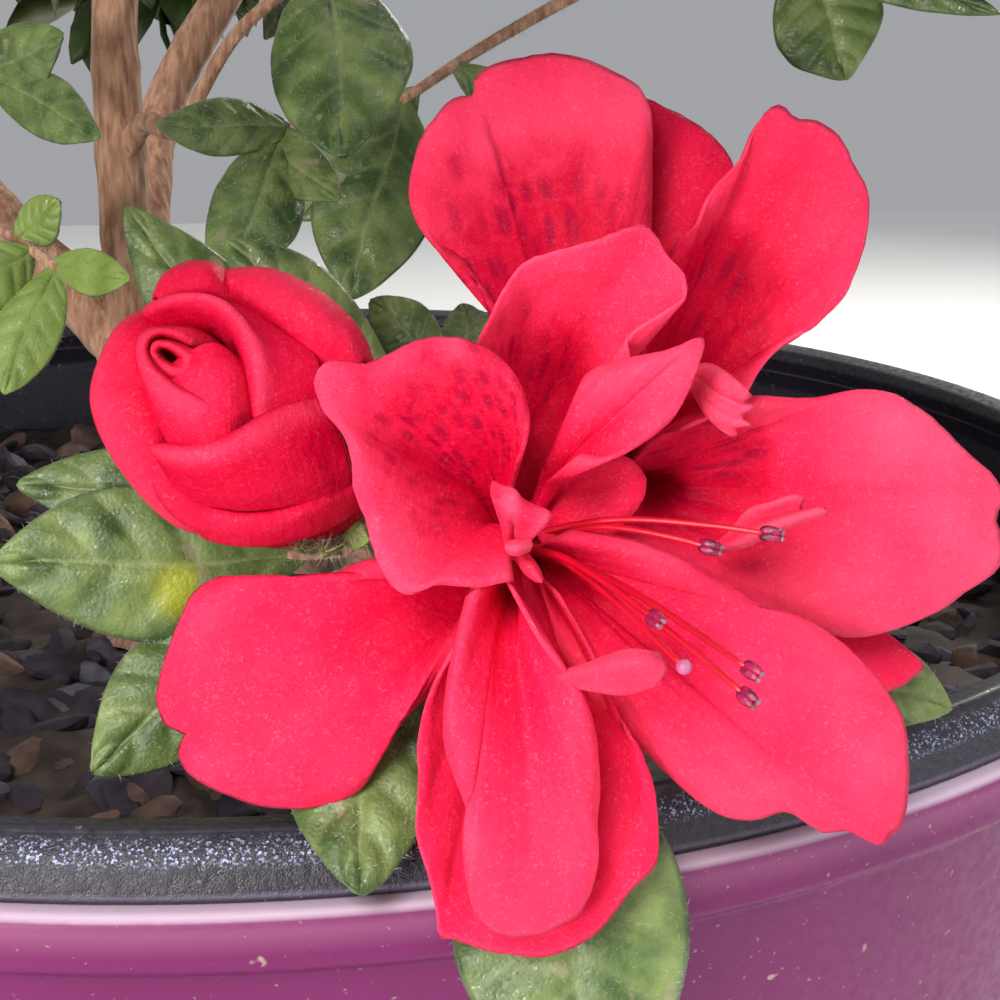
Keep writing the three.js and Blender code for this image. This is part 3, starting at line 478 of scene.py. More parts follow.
def petalMaterial():
    tree, joined = newMaterial("petal", Specular_IOR_Level=0.07)
    flat = flatMap(tree)
    place = objectPlace(tree)
    deep, blotch, tone = attribute(tree, "deep"), attribute(tree, "blotch"), attribute(tree, "tone")
    veins = addNode(tree, "ShaderNodeTexNoise", {
        "Vector": stretched(tree, flat, petalLook["veins"]), "Scale": 1.0, "Detail": 3.0, "Distortion": 0.4,
    }).outputs["Fac"]
    cloud = clouds(tree, place, petalLook["clouds"])
    patches = clouds(tree, place, petalLook["patches"])
    cellPlace = sumVector(tree, stretched(tree, flat, petalLook["spots"]), cloud)
    cells = addNode(tree, "ShaderNodeTexVoronoi", {"Vector": cellPlace, "Scale": 1.0, "Randomness": 0.85})
    drawn = addNode(tree, "ShaderNodeSeparateColor", {0: cells.outputs["Color"]}).outputs[0]
    spotMask = times(tree, ranged(tree, cells.outputs["Distance"], 0.5, 0.22), ranged(tree, drawn, 0.0, 0.4))
    grain = useGroup(tree, cellGrain, Vector=place, Scale=petalLook["grain"])
    ground = mixed(tree, tone, finish["coral"], finish["coralPale"])
    clouded = mixed(tree, times(tree, ranged(tree, cloud, 0.4, 0.7), 0.3), ground, finish["crimson"])
    streak = times(tree, times(tree, ranged(tree, veins, 0.62, 0.36), 0.5), plus(tree, deep, 0.5))
    veined = mixed(tree, times(tree, streak, 0.42, True), clouded, finish["crimson"])
    bleeding = times(tree, blotch, ranged(tree, patches, 0.3, 0.7, 0.6, 1.15))
    washed = plus(tree, deep, bleeding, True)
    deepened = mixed(tree, washed, veined, finish["crimson"])
    spotted = mixed(tree, times(tree, spotMask, blotch, True), deepened, finish["crimsonDark"])
    # Painted glints: a few pale pink cells in the colour stand for light sparkling on the petal's cells, fewer
    # where the crimson is deep
    paintedGlints = times(tree, grain["Glint"], ranged(tree, patches, 0.35, 0.75))
    paintedGlints = times(tree, paintedGlints, ranged(tree, washed, 0, 1, 0.24, 0.1))
    normal = bumped(tree, veins, 0.16, 0.0009)
    normal = bumped(tree, patches, 0.4, 0.0005, normal)
    return joined(
        Base_Color=mixed(tree, paintedGlints, spotted, finish["paintedSparkle"]),
        Roughness=ranged(tree, grain["Glint"], 0, 1, 0.5, 0.34),
        Normal=bumped(tree, grain["Height"], 0.22, 0.00014, normal),
    )


leafLook = {"grain": 2200.0, "spots": 260.0, "clouds": 180.0, "wrinkles": 420.0}


def leafMaterial(name, deepColour, lightColour, fine):
    tree, joined = newMaterial(name, Specular_IOR_Level=0.5, Sheen_Weight=0.12, Sheen_Roughness=0.4)
    place = objectPlace(tree)
    spread = ranged(tree, clouds(tree, place, leafLook["clouds"], 4.0), 0.35, 0.68)
    colour = mixed(tree, spread, deepColour, lightColour)
    grain = useGroup(tree, cellGrain, Vector=place, Scale=leafLook["grain"])
    normal = bumped(tree, grain["Height"], 0.3, 0.00018)
    if fine:
        vein, sunny = attribute(tree, "vein"), attribute(tree, "sunny")
        colour = mixed(tree, times(tree, vein, 0.55), colour, finish["leafRib"])
        # Painted sunlight: a yellow-green patch where light falls on the near leaf
        colour = mixed(tree, sunny, colour, finish["paintedSunOnLeaf"])
        flecks = useGroup(tree, speckle, Vector=place, Scale=leafLook["spots"], Cover=0.06, Softness=0.05)
        colour = mixed(tree, times(tree, flecks["Mask"], 0.6), colour, finish["leafFleck"])
        normal = bumped(tree, clouds(tree, place, leafLook["wrinkles"]), 0.45, 0.0007, normal)
    return joined(Base_Color=colour, Roughness=ranged(tree, grain["Glint"], 0, 1, 0.46, 0.26), Normal=normal)


barkLook = {"ridges": (900, 900, 190), "flakes": 260.0}


def barkMaterial():
    tree, joined = newMaterial("bark", Roughness=0.85, Specular_IOR_Level=0.25, Sheen_Weight=0.25)
    place = objectPlace(tree)
    ridges = clouds(tree, stretched(tree, place, barkLook["ridges"]), 1.0, 5.0)
    flakes = clouds(tree, place, barkLook["flakes"], 4.0)
    colour = mixed(tree, ranged(tree, ridges, 0.36, 0.64), finish["barkDark"], finish["barkLight"])
    colour = mixed(tree, times(tree, ranged(tree, flakes, 0.5, 0.7), 0.5), colour, finish["barkFlake"])
    normal = bumped(tree, ridges, 0.7, 0.0012)
    return joined(Base_Color=colour, Normal=bumped(tree, flakes, 0.5, 0.0016, normal))


# Two colours in soft patches, for what needs no more
def plainMaterial(name, colour, second, scale, roughness, **fixed):
    tree, joined = newMaterial(name, Roughness=roughness, **fixed)
    cloud = clouds(tree, objectPlace(tree), float(scale))
    return joined(
        Base_Color=mixed(tree, ranged(tree, cloud, 0.35, 0.65), colour, second),
        Normal=bumped(tree, cloud, 0.4, 0.0004),
    )


petal = petalMaterial()
leafFine = leafMaterial("leaf near", finish["leafDeep"], finish["leafLight"], True)
leafTints = {
    "deep": leafMaterial("leaf deep", (0.028, 0.06, 0.014, 1), (0.06, 0.115, 0.026, 1), False),
    "middle": leafMaterial("leaf middle", (0.045, 0.09, 0.018, 1), (0.09, 0.155, 0.035, 1), False),
    "fresh": leafMaterial("leaf fresh", (0.09, 0.16, 0.028, 1), (0.17, 0.26, 0.06, 1), False),
    "olive": leafMaterial("leaf olive", (0.075, 0.09, 0.02, 1), (0.14, 0.15, 0.045, 1), False),
}
youngLeaf = leafMaterial("leaf young", (0.16, 0.24, 0.04, 1), (0.27, 0.36, 0.09, 1), False)
bark = barkMaterial()
greenStem = plainMaterial("green stem", (0.14, 0.17, 0.04, 1), (0.22, 0.16, 0.07, 1), 320, 0.6)
hair = plainMaterial("hair", (0.62, 0.60, 0.48, 1), (0.50, 0.44, 0.32, 1), 300, 0.4)
filament = plainMaterial("filament", (0.62, 0.002, 0.022, 1), (0.50, 0.001, 0.016, 1), 300, 0.35)
anther = plainMaterial("anther", (0.42, 0.006, 0.07, 1), (0.09, 0.008, 0.03, 1), 1400, 0.3)
pollen = plainMaterial("pollen", (0.26, 0.20, 0.22, 1), (0.12, 0.07, 0.09, 1), 1500, 0.7)
stigma = plainMaterial("stigma", (0.44, 0.16, 0.30, 1), (0.52, 0.08, 0.22, 1), 1800, 0.5)
print("materials made")


# Petals of the two open blooms. Each fans out from its root to its rim. Its near values are those at the
# root, half way and at the tip, and its edges come forward by the values for its first and its last edge.
# deep is how far and how strongly the crimson runs out, and blotch is a spotted place with its reach. A
# crease lies at a place across the petal, from -1 to 1, with its depth and its width. Crimson and paleness
# are partly the petal's own, a crimson throat and random pale patches, and partly painted light: petals in
# shade get more crimson and less paleness, sunlit ones more paleness, and each petal pales towards its tip
# and in a thin line at its edge, a painted sheen. A petaloid is a small petal at the bloom's middle, laid
# through guides, each with its paleness.
frontPetals = {
    "upperLeft": {
        "root": [0.5, -1], "near": [3, 11, 16], "edges": [-2, -4], "ruffle": 0.7, "deep": [0.3, 0.6],
        "blotch": [-4.5, 7, 12.5], "tone": 0.5,
        "creases": [[-0.3, 0.7, 0.26], [0.12, -0.6, 0.22], [0.5, 0.6, 0.2]],
        "rim": [[1.4, -8.2], [-2.8, -8.8], [-6.2, -8.5], [-9, -9.5], [-10.4, -9], [-12.3, -6.1],
                [-13.6, -1.6], [-14.7, 1.2], [-14.9, 4], [-15.7, 6.5], [-18, 9.4], [-18.5, 12.6],
                [-17, 13.9], [-13.1, 13.8], [-9.7, 15.4], [-7, 16.3], [-3.1, 16], [0.4, 14], [2, 11.7],
                [2.8, 8.2], [2.5, 6], [1.5, 3.2]],
    },
    "upper": {
        "root": [1.6, 0.5], "near": [2, 4, 12], "edges": [1, -5], "ruffle": 0.6, "deep": [0.6, 0.75],
        "blotch": [4.5, 13, 9], "tone": 0.35, "creases": [[-0.15, -0.9, 0.2], [0.3, 1.1, 0.16]],
        "rim": [[-1.6, 8], [-2.8, 14], [-1.2, 18], [0.3, 21], [2.1, 23.5], [5.3, 24.9], [8.9, 25.8],
                [14.4, 27.5], [15.7, 26.3], [16.6, 24.7], [18.4, 22.5], [18.7, 20.6], [16.6, 19],
                [12.8, 16.1], [13.2, 13.6], [12, 8.8], [7.4, 4.2]],
    },
    "inner": {
        "root": [3.6, 1], "near": [5, 9.5, 12], "edges": [-2, -8], "ruffle": 0.4, "deep": [0.45, 0.9],
        "tone": 0.5, "creases": [[0.1, -0.6, 0.2]],
        "rim": [[7.9, 4.6], [11.2, 4.4], [14.3, 5.9], [17.4, 8.4], [19.1, 11.4], [20.3, 16.2], [16.9, 15.1],
                [11.9, 14], [9, 12.8], [7.4, 9.6], [5.8, 6.2]],
    },
    "lobe": {
        "root": [2.5, -0.9], "near": [1.4, 3.4, 4], "edges": [1, 1], "ruffle": 0.2, "deep": [0.8, 0.9],
        "tone": 0.05,
        "rim": [[4.4, -5], [9.6, -4.4], [13.2, -1.6], [14.6, 0.8], [14.4, 2.6], [12.7, 4.3], [8.4, 3.6],
                [5, 1.4]],
    },
    "lowerLeft": {
        "root": [-1, -7], "near": [1, 6, 6], "edges": [-1, -2], "ruffle": 0.9, "deep": [0.45, 1.0],
        "tone": 0.2, "creases": [[-0.45, 0.9, 0.14], [-0.1, -0.5, 0.12], [0.25, 0.6, 0.1]],
        "rim": [[-6, -6.8], [-12.7, -6], [-17.5, -7.7], [-22.4, -8.5], [-26, -8.5], [-28.7, -7.9],
                [-30.7, -9.3], [-32.8, -13.8], [-34, -17.4], [-34.3, -20.4], [-33.4, -22.6], [-31.6, -23.5],
                [-32.3, -25], [-31, -27.5], [-28.1, -29.2], [-24.3, -30.6], [-18.4, -30.8], [-14.4, -29.3],
                [-12.3, -25.8], [-9.8, -22], [-7, -19.1], [-4.7, -15.5], [-3.1, -8.8]],
    },
    "bottomFront": {
        "root": [0.2, -7], "near": [5, 13, 15], "edges": [-2, -2], "ruffle": 0.5, "deep": [0.3, 0.5],
        "tone": 0.35, "creases": [[-0.2, 1.1, 0.12], [0.05, -1.0, 0.09], [0.32, 0.8, 0.12]],
        "rim": [[-3.1, -9.1], [-4.4, -14.4], [-5.5, -20.6], [-5.4, -25.3], [-3.7, -30.1], [-3.2, -31.5],
                [-3.6, -34.2], [-3.1, -39.7], [-2.6, -41.2], [-0.8, -43.1], [1.5, -43.8], [5.2, -43.1],
                [8.3, -40.8], [9.9, -35.6], [9.7, -33.4], [10, -28.2], [8.8, -20.9], [4.6, -14.9],
                [1.5, -9.4]],
    },
    "bottomBack": {
        "root": [1.6, -5.4], "near": [-1, 5, 11], "edges": [-1, -1], "ruffle": 0.6, "deep": [0.6, 0.8],
        "tone": 0.05, "creases": [[-0.4, 0.7, 0.12], [0.5, 0.7, 0.14]],
        "rim": [[-3.6, -13], [-7.1, -19.6], [-8.2, -23.8], [-8.2, -28.7], [-8.4, -33.5], [-7, -38.4],
                [-6.3, -42.1], [-6.1, -43.8], [-4.8, -44], [-0.8, -45.2], [4.6, -45.7], [9.6, -43.4],
                [13, -39.2], [15.5, -36.7], [15.9, -33.2], [15, -27.2], [12.4, -22.6], [9, -15], [5.6, -9]],
    },
    "lowerRight": {
        "root": [3, -5], "near": [3, 8, 8], "edges": [-1.5, -2], "ruffle": 1, "deep": [0.4, 0.9],
        "tone": 0.5, "creases": [[-0.45, 0.8, 0.1], [-0.12, -1.1, 0.12], [0.3, 0.9, 0.16]],
        "rim": [[5.6, -14], [9.4, -20.1], [14, -24.6], [19.2, -29.6], [22.1, -31.6], [25.1, -32.1],
                [28.7, -31.2], [32.6, -33.4], [34.2, -33], [38.4, -34.7], [38.6, -33.8], [40.1, -32.9],
                [40.9, -27.7], [40.4, -22], [38.8, -19.1], [36.3, -16.2], [34.2, -14.2], [30.8, -12.1],
                [27.1, -11.2], [22.1, -8], [17.5, -5.4], [11.7, -3.7], [6.5, -3]],
    },
}
# Rear bloom: upperMiddle and upperRight get more crimson, a painted shade; right gets more paleness, a painted
# highlight
rearPetals = {
    "upperLeft": {
        "root": [7, 9], "near": [-6, -5, -4], "edges": [2, -1], "ruffle": 0.7, "deep": [0.5, 0.8],
        "blotch": [4, 25, 15], "tone": 0.6,
        "creases": [[-0.4, 0.9, 0.12], [-0.05, -0.8, 0.12], [0.35, 0.8, 0.12]],
        "rim": [[2, 14], [-0.8, 18], [-2.2, 21.4], [-4.2, 24.4], [-7.6, 26.8], [-9, 29.5], [-9, 32.5],
                [-7.5, 37], [-6, 39], [-4.5, 40.3], [-2.5, 40.5], [-2.6, 42.2], [-0.6, 43.6], [2.2, 44.3],
                [5.5, 44.7], [9.4, 43.8], [12.4, 42.4], [14.2, 41], [15.1, 38.8], [15.2, 34], [15.1, 27],
                [13.5, 15]],
    },
    "upperMiddle": {
        "root": [11, 9], "near": [-9, -9, -8], "edges": [0, 0], "ruffle": 0.3, "deep": [1.4, 0.75],
        "tone": 0.0,
        "rim": [[9, 22], [12, 37], [14, 40.2], [17.5, 38.8], [20.1, 37.4], [21.9, 35.8], [23.3, 33.5],
                [22, 25], [17, 15]],
    },
    "upperRight": {
        "root": [13, 6], "near": [-6, -3, 2], "edges": [2, 2], "ruffle": 0.9, "deep": [1.0, 0.9],
        "blotch": [19, 20, 11], "tone": 0.3,
        "creases": [[-0.5, 0.8, 0.1], [-0.1, -1.0, 0.12], [0.3, 1.0, 0.14], [0.62, -0.6, 0.1]],
        "rim": [[14, 14], [15.8, 21], [17.3, 25.4], [19.7, 27.8], [21.1, 30.9], [23.1, 33.1], [24.4, 34.6],
                [25.6, 37.4], [27, 39.2], [28.2, 39.5], [29.6, 38.1], [31.6, 38], [33.9, 36.6],
                [35.3, 33.9], [36.8, 31], [36.9, 27.5], [36, 24], [34.5, 20.4], [32, 17.9], [28.6, 15.9],
                [26.2, 13.3], [24, 10], [18, 7]],
    },
    "right": {
        "root": [11, 1.5], "near": [-6, -2, -1], "edges": [1, -2], "ruffle": 1.0, "deep": [0.25, 0.6],
        "blotch": [20, 3, 11], "tone": 0.65,
        "creases": [[-0.5, 0.8, 0.12], [-0.1, -0.9, 0.14], [0.15, 0.9, 0.12], [0.4, -0.7, 0.12]],
        "rim": [[15, 6], [20, 9], [25.2, 10.4], [31.4, 10.2], [37.2, 11.1], [40.4, 10.2], [43.7, 7.9],
                [46.8, 4.8], [49.6, 2.1], [50.4, 0], [49.6, -1.9], [50.2, -3.6], [50, -6.6], [47.1, -8.9],
                [43, -11.6], [38.9, -13.2], [35.3, -13.8], [31, -13], [24, -11.5], [16, -8.5], [8, -4.6]],
    },
    "lowerRight": {
        "root": [12, 0], "near": [-9, -8, -7], "edges": [0, 0], "ruffle": 0.2, "deep": [0.9, 0.6],
        "tone": 0.1,
        "rim": [[22, -4], [34, -9], [38.6, -13.2], [40.4, -14.6], [42.4, -16.6], [41.4, -17.7],
                [38.8, -19.2], [32, -19], [18, -9]],
    },
}
frontPetaloids = [
    {"tone": [0.9, 0.5, 0.7], "guides": [
        [[5.4, -17.4, 12], [8.4, -16.4, 15], [13, -14.8, 17.5], [16.2, -15.2, 17.5]],
        [[5.6, -17.9, 13.4], [9, -17, 16.4], [13, -16.2, 19], [16.8, -17, 18.6]],
        [[6.2, -18.5, 12], [9.2, -19.2, 14.6], [12.6, -19.6, 16], [15.6, -18.6, 16.6]],
    ]},
    {"tone": [0.6, 0.2, 0.9, 0.2, 0.8], "guides": [
        [[0.6, -6, 6], [0.5, -4.6, 11], [0.2, -2.6, 13], [-0.5, -0.6, 14], [-1, 1, 14], [-0.7, 2.2, 13.5]],
        [[1, -6, 6], [0.9, -4.4, 12.5], [0.6, -2.6, 14.6], [0.1, -0.8, 15.6], [-0.4, 0.6, 15],
         [-0.3, 2, 14]],
        [[1.4, -6, 6], [1.4, -4.2, 12], [1.2, -2.6, 13.4], [1.2, -0.8, 16], [1.4, 0.9, 16], [0.8, 1, 14.5]],
        [[1.8, -6, 6], [2, -4.2, 13], [2.2, -2.8, 13.6], [2.4, -1.4, 15.4], [2.3, -0.2, 15.4],
         [1.8, 0.3, 14]],
        [[2.2, -6, 6], [3, -4.3, 12], [3.8, -3.4, 13.6], [4.9, -2.2, 14.8], [5.2, -1.3, 14.4],
         [3.4, -1, 13]],
    ]},
    {"tone": [0.6, 1, 0.7], "guides": [
        [[0.7, -4.1, 13], [1.6, -4, 14], [3.1, -3.8, 13]],
        [[0.5, -4.7, 14.4], [1.6, -4.8, 15.4], [3.2, -4.4, 14]],
        [[0.9, -5.4, 12.6], [1.8, -5.5, 13.6], [3, -5, 12.6]],
    ]},
    {"tone": [0.2, 0.4, 0.3], "guides": [
        [[0.9, -5.2, 5], [1.6, -6.2, 10], [2.8, -7.6, 12.6], [4, -8.3, 13]],
        [[1.6, -5, 6], [2.4, -5.8, 11.4], [3.4, -7.2, 14], [4.2, -8.3, 14]],
        [[2.4, -4.8, 5], [3, -5.6, 10], [3.9, -7, 12.6], [4.3, -8.2, 13]],
    ]},
]
rearPetaloids = [
    {"tone": [0.7, 1, 0.4, 1, 0.5, 1, 0.5, 0.9, 0.8], "guides": [
        [[15, 9, -3], [19.8, 13.6, 3], [21.6, 13.5, 5], [23.6, 11.8, 6]],
        [[15, 8.6, -2], [19.6, 13.2, 4], [22.4, 12.2, 6.6], [25.3, 10.3, 7.2]],
        [[15, 8.2, -2], [19.4, 12.8, 4.4], [22.1, 11, 7], [24.2, 9.7, 7.4]],
        [[15, 7.8, -2], [19.2, 12.4, 4.2], [22.4, 10.2, 6.6], [25.8, 9.3, 7.2]],
        [[15, 7.4, -2], [19, 12, 4.4], [21.8, 9.4, 7], [24, 8.3, 7.4]],
        [[15, 7, -2], [18.9, 11.7, 4.2], [21.8, 8.8, 6.6], [25.4, 7.4, 7.2]],
        [[15, 6.9, -2], [18.8, 11.5, 4.2], [21.3, 8.3, 6.8], [23.6, 7.2, 7.2]],
        [[15, 6.8, -3], [18.8, 11.3, 3.6], [21.1, 8.1, 5.8], [23.8, 6.2, 6.6]],
        [[15, 6.6, -3], [18.9, 11.1, 3], [20.3, 8.8, 5], [22, 6.8, 5.8]],
    ]},
    {"tone": [0.8, 0.2, 1, 0.5], "guides": [
        [[21.2, -4.6, 1], [23, -3, 3.4], [24.6, -0.9, 5], [27, -0.2, 6], [29.7, 0.6, 6.4],
         [30.6, 0.2, 6.2]],
        [[21.4, -4.8, 1.6], [23.6, -3.6, 4], [25.4, -2.2, 5], [27.6, -1.4, 5.4], [29.4, -1, 5.6],
         [30.2, -0.9, 5.8]],
        [[21.6, -5, 1.8], [24, -4.2, 4.6], [26.2, -3, 7], [28.6, -2.1, 8.2], [31, -1.3, 8.4],
         [32.8, -0.8, 7.6]],
        [[21.8, -5.2, 1], [24.2, -4.9, 3.6], [26.4, -3.9, 4.8], [28.8, -2.9, 5.6], [31, -2.1, 5.8],
         [32.6, -1.6, 6]],
    ]},
]
blooms = {
    "bloom_front": {
        "throat": [1.5, -4.5, 0], "mouth": 3.6, "petals": frontPetals, "petaloids": frontPetaloids,
        "stamens": [[15.4, -11.8, 24], [25, -17, 24], [24.6, -19.6, 23]], "stigma": [18.4, -16.7, 26],
    },
    "bloom_rear": {
        "throat": [12, 2.5, -9], "mouth": 3.6, "petals": rearPetals, "petaloids": rearPetaloids,
        "stamens": [[26.9, -3.4, 14], [20.8, -4.7, 13]], "stamenRoot": [2.6, -3.6, 2.5],
    },
}
bloomMake = {
    "across": 84, "along": 46, "thickness": 0.5, "fanStart": 0.2, "clawStart": 1.3, "clawRise": 0.25,
    "clawWidth": 0.14, "wave": 1.8, "rollBack": 0.8, "crinkle": 0.26, "lumps": 0.75, "wobble": 0.16,
    "petaloidAcross": 26, "petaloidAlong": 18, "petaloidThickness": 0.4, "petaloidDeep": 0.15, "tube": 1.5,
}
shootTip = [-11, -6, -20]


# Soft unevenness of a petal at places in the view
def lumpy(x, y, seed, spacing):
    spots = np.column_stack([np.ravel(x) / spacing, np.ravel(y) / spacing, np.full(np.size(x), seed)])
    return np.array([noise.noise(spot) for spot in spots.tolist()]).reshape(np.shape(x))


# The grid of a petal's places in the view, from its claw in the throat out to its rim
def petalPlaces(petalPlan, throat):
    make = bloomMake
    rimCurve = Curve([[x, y, 0] for x, y in petalPlan["rim"]])
    rim = rimCurve.spaced(make["across"])[:, :2]
    root = np.array(petalPlan["root"], float)
    seed = root[0] * 3.7 + root[1] * 1.9
    aside = np.linspace(-1, 1, make["across"] + 1)
    rim = rim + unit(rim - root) * (make["wobble"] * lumpy(aside * 26, aside * 9, seed, 1))[:, None]
    start, half, tip = petalPlan["near"]
    edges = np.where(aside < 0, petalPlan["edges"][0], petalPlan["edges"][1])

    def fan(share):
        bend = aside ** 2 * share * edges
        wave = make["wave"] * lumpy(aside * 3.2, aside, seed + 4, 1) * petalPlan["ruffle"] * share ** 3
        rise = start * (1 - share) * (1 - 2 * share) + half * 4 * share * (1 - share)
        rise += tip * share * (2 * share - 1)
        crinkle = make["crinkle"] * share ** 2 * np.sin(aside * 9 + seed) * math.cos(share * 7 + seed)
        crinkle = crinkle + 0.35 * make["crinkle"] * share ** 3 * np.sin(aside * 31 + share * 11 + seed)
        roll = make["rollBack"] * smooth(0.86, 1.0, share) ** 2
        place = lerp(root, rim, share)
        lumps = make["lumps"] * share * lumpy(place[:, 0], place[:, 1], seed, 6)
        lumps = lumps + 0.2 * make["lumps"] * share * lumpy(place[:, 0], place[:, 1], seed, 2.2)
        fold = 0
        for at, depth, width in petalPlan.get("creases", ()):
            bent = aside - at - 0.05 * math.sin(share * 5 + at * 9)
            sharp = smooth(0.05, 0.45, share) * (1.1 - 0.7 * share)
            fold = fold + depth * np.exp(-(bent / width) ** 2) * sharp
        return np.column_stack([place, rise + bend + wave + crinkle + lumps + fold - roll])

    toRim = unit(rimCurve.pointAt(0.5)[:2] - root) * make["clawStart"]
    claw = np.array([throat[0] + toRim[0], throat[1] + toRim[1], throat[2] + start * make["clawRise"]])
    first = fan(make["fanStart"])
    narrow = claw + (first - first.mean(axis=0)) * make["clawWidth"]
    shares = (np.arange(make["along"] + 1) / make["along"]) ** 0.9
    rows = [lerp(narrow, first, s / make["fanStart"]) if s < make["fanStart"] else fan(s) for s in shares]
    return np.array(rows), shares[:, None] * np.ones((1, make["across"] + 1)), aside


def addPetal(heap, petalPlan, throat):
    places, share, aside = petalPlaces(petalPlan, throat)
    reach, strength = petalPlan["deep"]
    deep = strength * (1 - smooth(0.12, reach + 0.15, share))
    blotch = np.zeros_like(share)
    if "blotch" in petalPlan:
        x, y, far = petalPlan["blotch"]
        distance = np.hypot(places[..., 0] - x, places[..., 1] - y)
        distance = distance * (1 + 0.35 * lumpy(places[..., 0], places[..., 1], 7, 3))
        blotch = 1 - smooth(far * 0.3, far, distance)
    # Paleness: random patches, and a painted sheen that grows towards the tip and in a thin pale line at the
    # edge
    patchy = 0.75 + 0.6 * lumpy(places[..., 0], places[..., 1], 21, 9)
    tone = petalPlan["tone"] * smooth(0.35, 0.95, share) * patchy
    tone = tone + 0.4 * smooth(0.978, 1.0, np.maximum(share, abs(aside)))
    across = (aside / 2 + 0.5)[None, :] * np.ones((len(share), 1))
    flat = np.stack([across + petalPlan["root"][0], share + petalPlan["root"][1]], axis=-1)
    blade(heap, seen(places), bloomMake["thickness"], flat, deep=deep, blotch=blotch, tone=tone)


# A petal laid through lines of points across it, from its foot to its rim. A point is x, y and near, and
# each line has its own crimson and its own paleness.
def addLofted(heap, guides, deeps, paleAndHighlights, across, along, thickness, seed):
    lines = []
    for guide, deep, tone in zip(guides, deeps, paleAndHighlights):
        line = Curve(guide).spaced(across)
        lines.append(np.column_stack([line, np.full(across + 1, deep), np.full(across + 1, tone)]))
    columns = [Curve([line[j] for line in lines]).spaced(along) for j in range(across + 1)]
    grid = np.array(columns).transpose(1, 0, 2)
    places, deep, tone = grid[..., :3].copy(), grid[..., 3].clip(0, 1), grid[..., 4].clip(0, 1)
    places[..., 2] += 0.3 * lumpy(places[..., 0], places[..., 1], seed, 3.4)
    places[..., 2] += 0.08 * lumpy(places[..., 0], places[..., 1], seed + 3, 1.1)
    share, aside = np.meshgrid(np.linspace(0, 1, along + 1), np.linspace(0, 1, across + 1), indexing="ij")
    flat = np.stack([aside + seed, share + seed], axis=-1)
    blade(heap, seen(places), thickness, flat, deep=deep, blotch=0, tone=tone)


stamenMake = {
    "spread": 0.9, "sink": 0.4, "lift": 1.6, "towards": 1.5, "foot": 0.42, "thinning": 0.14, "steps": 22,
    "headLength": 2.3, "headWidth": 0.4, "headAside": 0.3, "knobLength": 1.4, "knobWidth": 0.64,
}


# A thread with two pollen cases, each with its pore, or with a knob where it isn't headed
def addStamen(heap, throat, tip, turn, headed=True):
    make = stamenMake
    x, y = throat[0] + math.cos(turn) * make["spread"], throat[1] + math.sin(turn) * make["spread"]
    start = seen([x, y, throat[2] - make["sink"]])
    end = seen(tip)
    lift = upward * make["lift"] - forward * make["towards"]
    path = Curve([start, lerp(start, end, 0.4) + lift, lerp(start, end, 0.8) + lift * 0.5, end])
    steps = make["steps"]
    limb(heap, path.spaced(steps), [make["foot"] - make["thinning"] * i / steps for i in range(steps + 1)], 8)
    along = path.tangentAt(1)
    side = unit(np.cross(along, forward))
    if headed:
        shares = np.linspace(0, 1, 13)
        for direction in (-1, 1):
            middle = end + side * direction * make["headAside"]
            line = [middle + along * (s - 0.4) * make["headLength"] for s in shares]
            radii = [0.1 + make["headWidth"] * math.sin(math.pi * s ** 0.8) ** 0.6 for s in shares]
            limb(heap, line, radii, 12, 1)
            pore = [line[-2] + along * 0.1 * k for k in range(4)]
            limb(heap, pore, [0.2, 0.25, 0.22, 0.1], 8, 2)
    else:
        shares = np.linspace(0, 1, 11)
        knob = [end + along * (s - 0.5) * make["knobLength"] for s in shares]
        limb(heap, knob, [0.06 + make["knobWidth"] * math.sin(math.pi * s) ** 0.5 for s in shares], 16, 3)


def bloomBase(bloom):
    mix = [t * 0.4 + s * 0.6 for t, s in zip(bloom["throat"], shootTip)]
    return seen([mix[0], mix[1], mix[2] + 2])


def makeBloom(name, bloom):
    make = bloomMake
    heap = Heap("deep", "blotch", "tone")
    for petalPlan in bloom["petals"].values():
        addPetal(heap, petalPlan, bloom["throat"])
    for k, plan in enumerate(bloom["petaloids"]):
        deeps = [make["petaloidDeep"]] * len(plan["guides"])
        addLofted(heap, plan["guides"], deeps, plan["tone"], make["petaloidAcross"], make["petaloidAlong"],
                  make["petaloidThickness"], 2.3 * k)
    widening = make["tube"] + (bloom["mouth"] - make["tube"]) * np.linspace(0, 1, 12) ** 1.4
    limb(heap, straight(bloomBase(bloom), seen(bloom["throat"]), 12), widening, 20, 0, deep=0.6)
    heap.piece(name + "_petals", [petal], "petal", [name])
    parts = Heap()
    for k, tip in enumerate(bloom["stamens"]):
        addStamen(parts, bloom.get("stamenRoot", bloom["throat"]), tip, (k + 4) * goldenAngle)
    if "stigma" in bloom:
        addStamen(parts, bloom["throat"], bloom["stigma"], 2.0, headed=False)
    parts.piece(name + "_stamens", [filament, anther, pollen, stigma], "petal")


for name, bloom in blooms.items():
    makeBloom(name, bloom)
print("open blooms made")
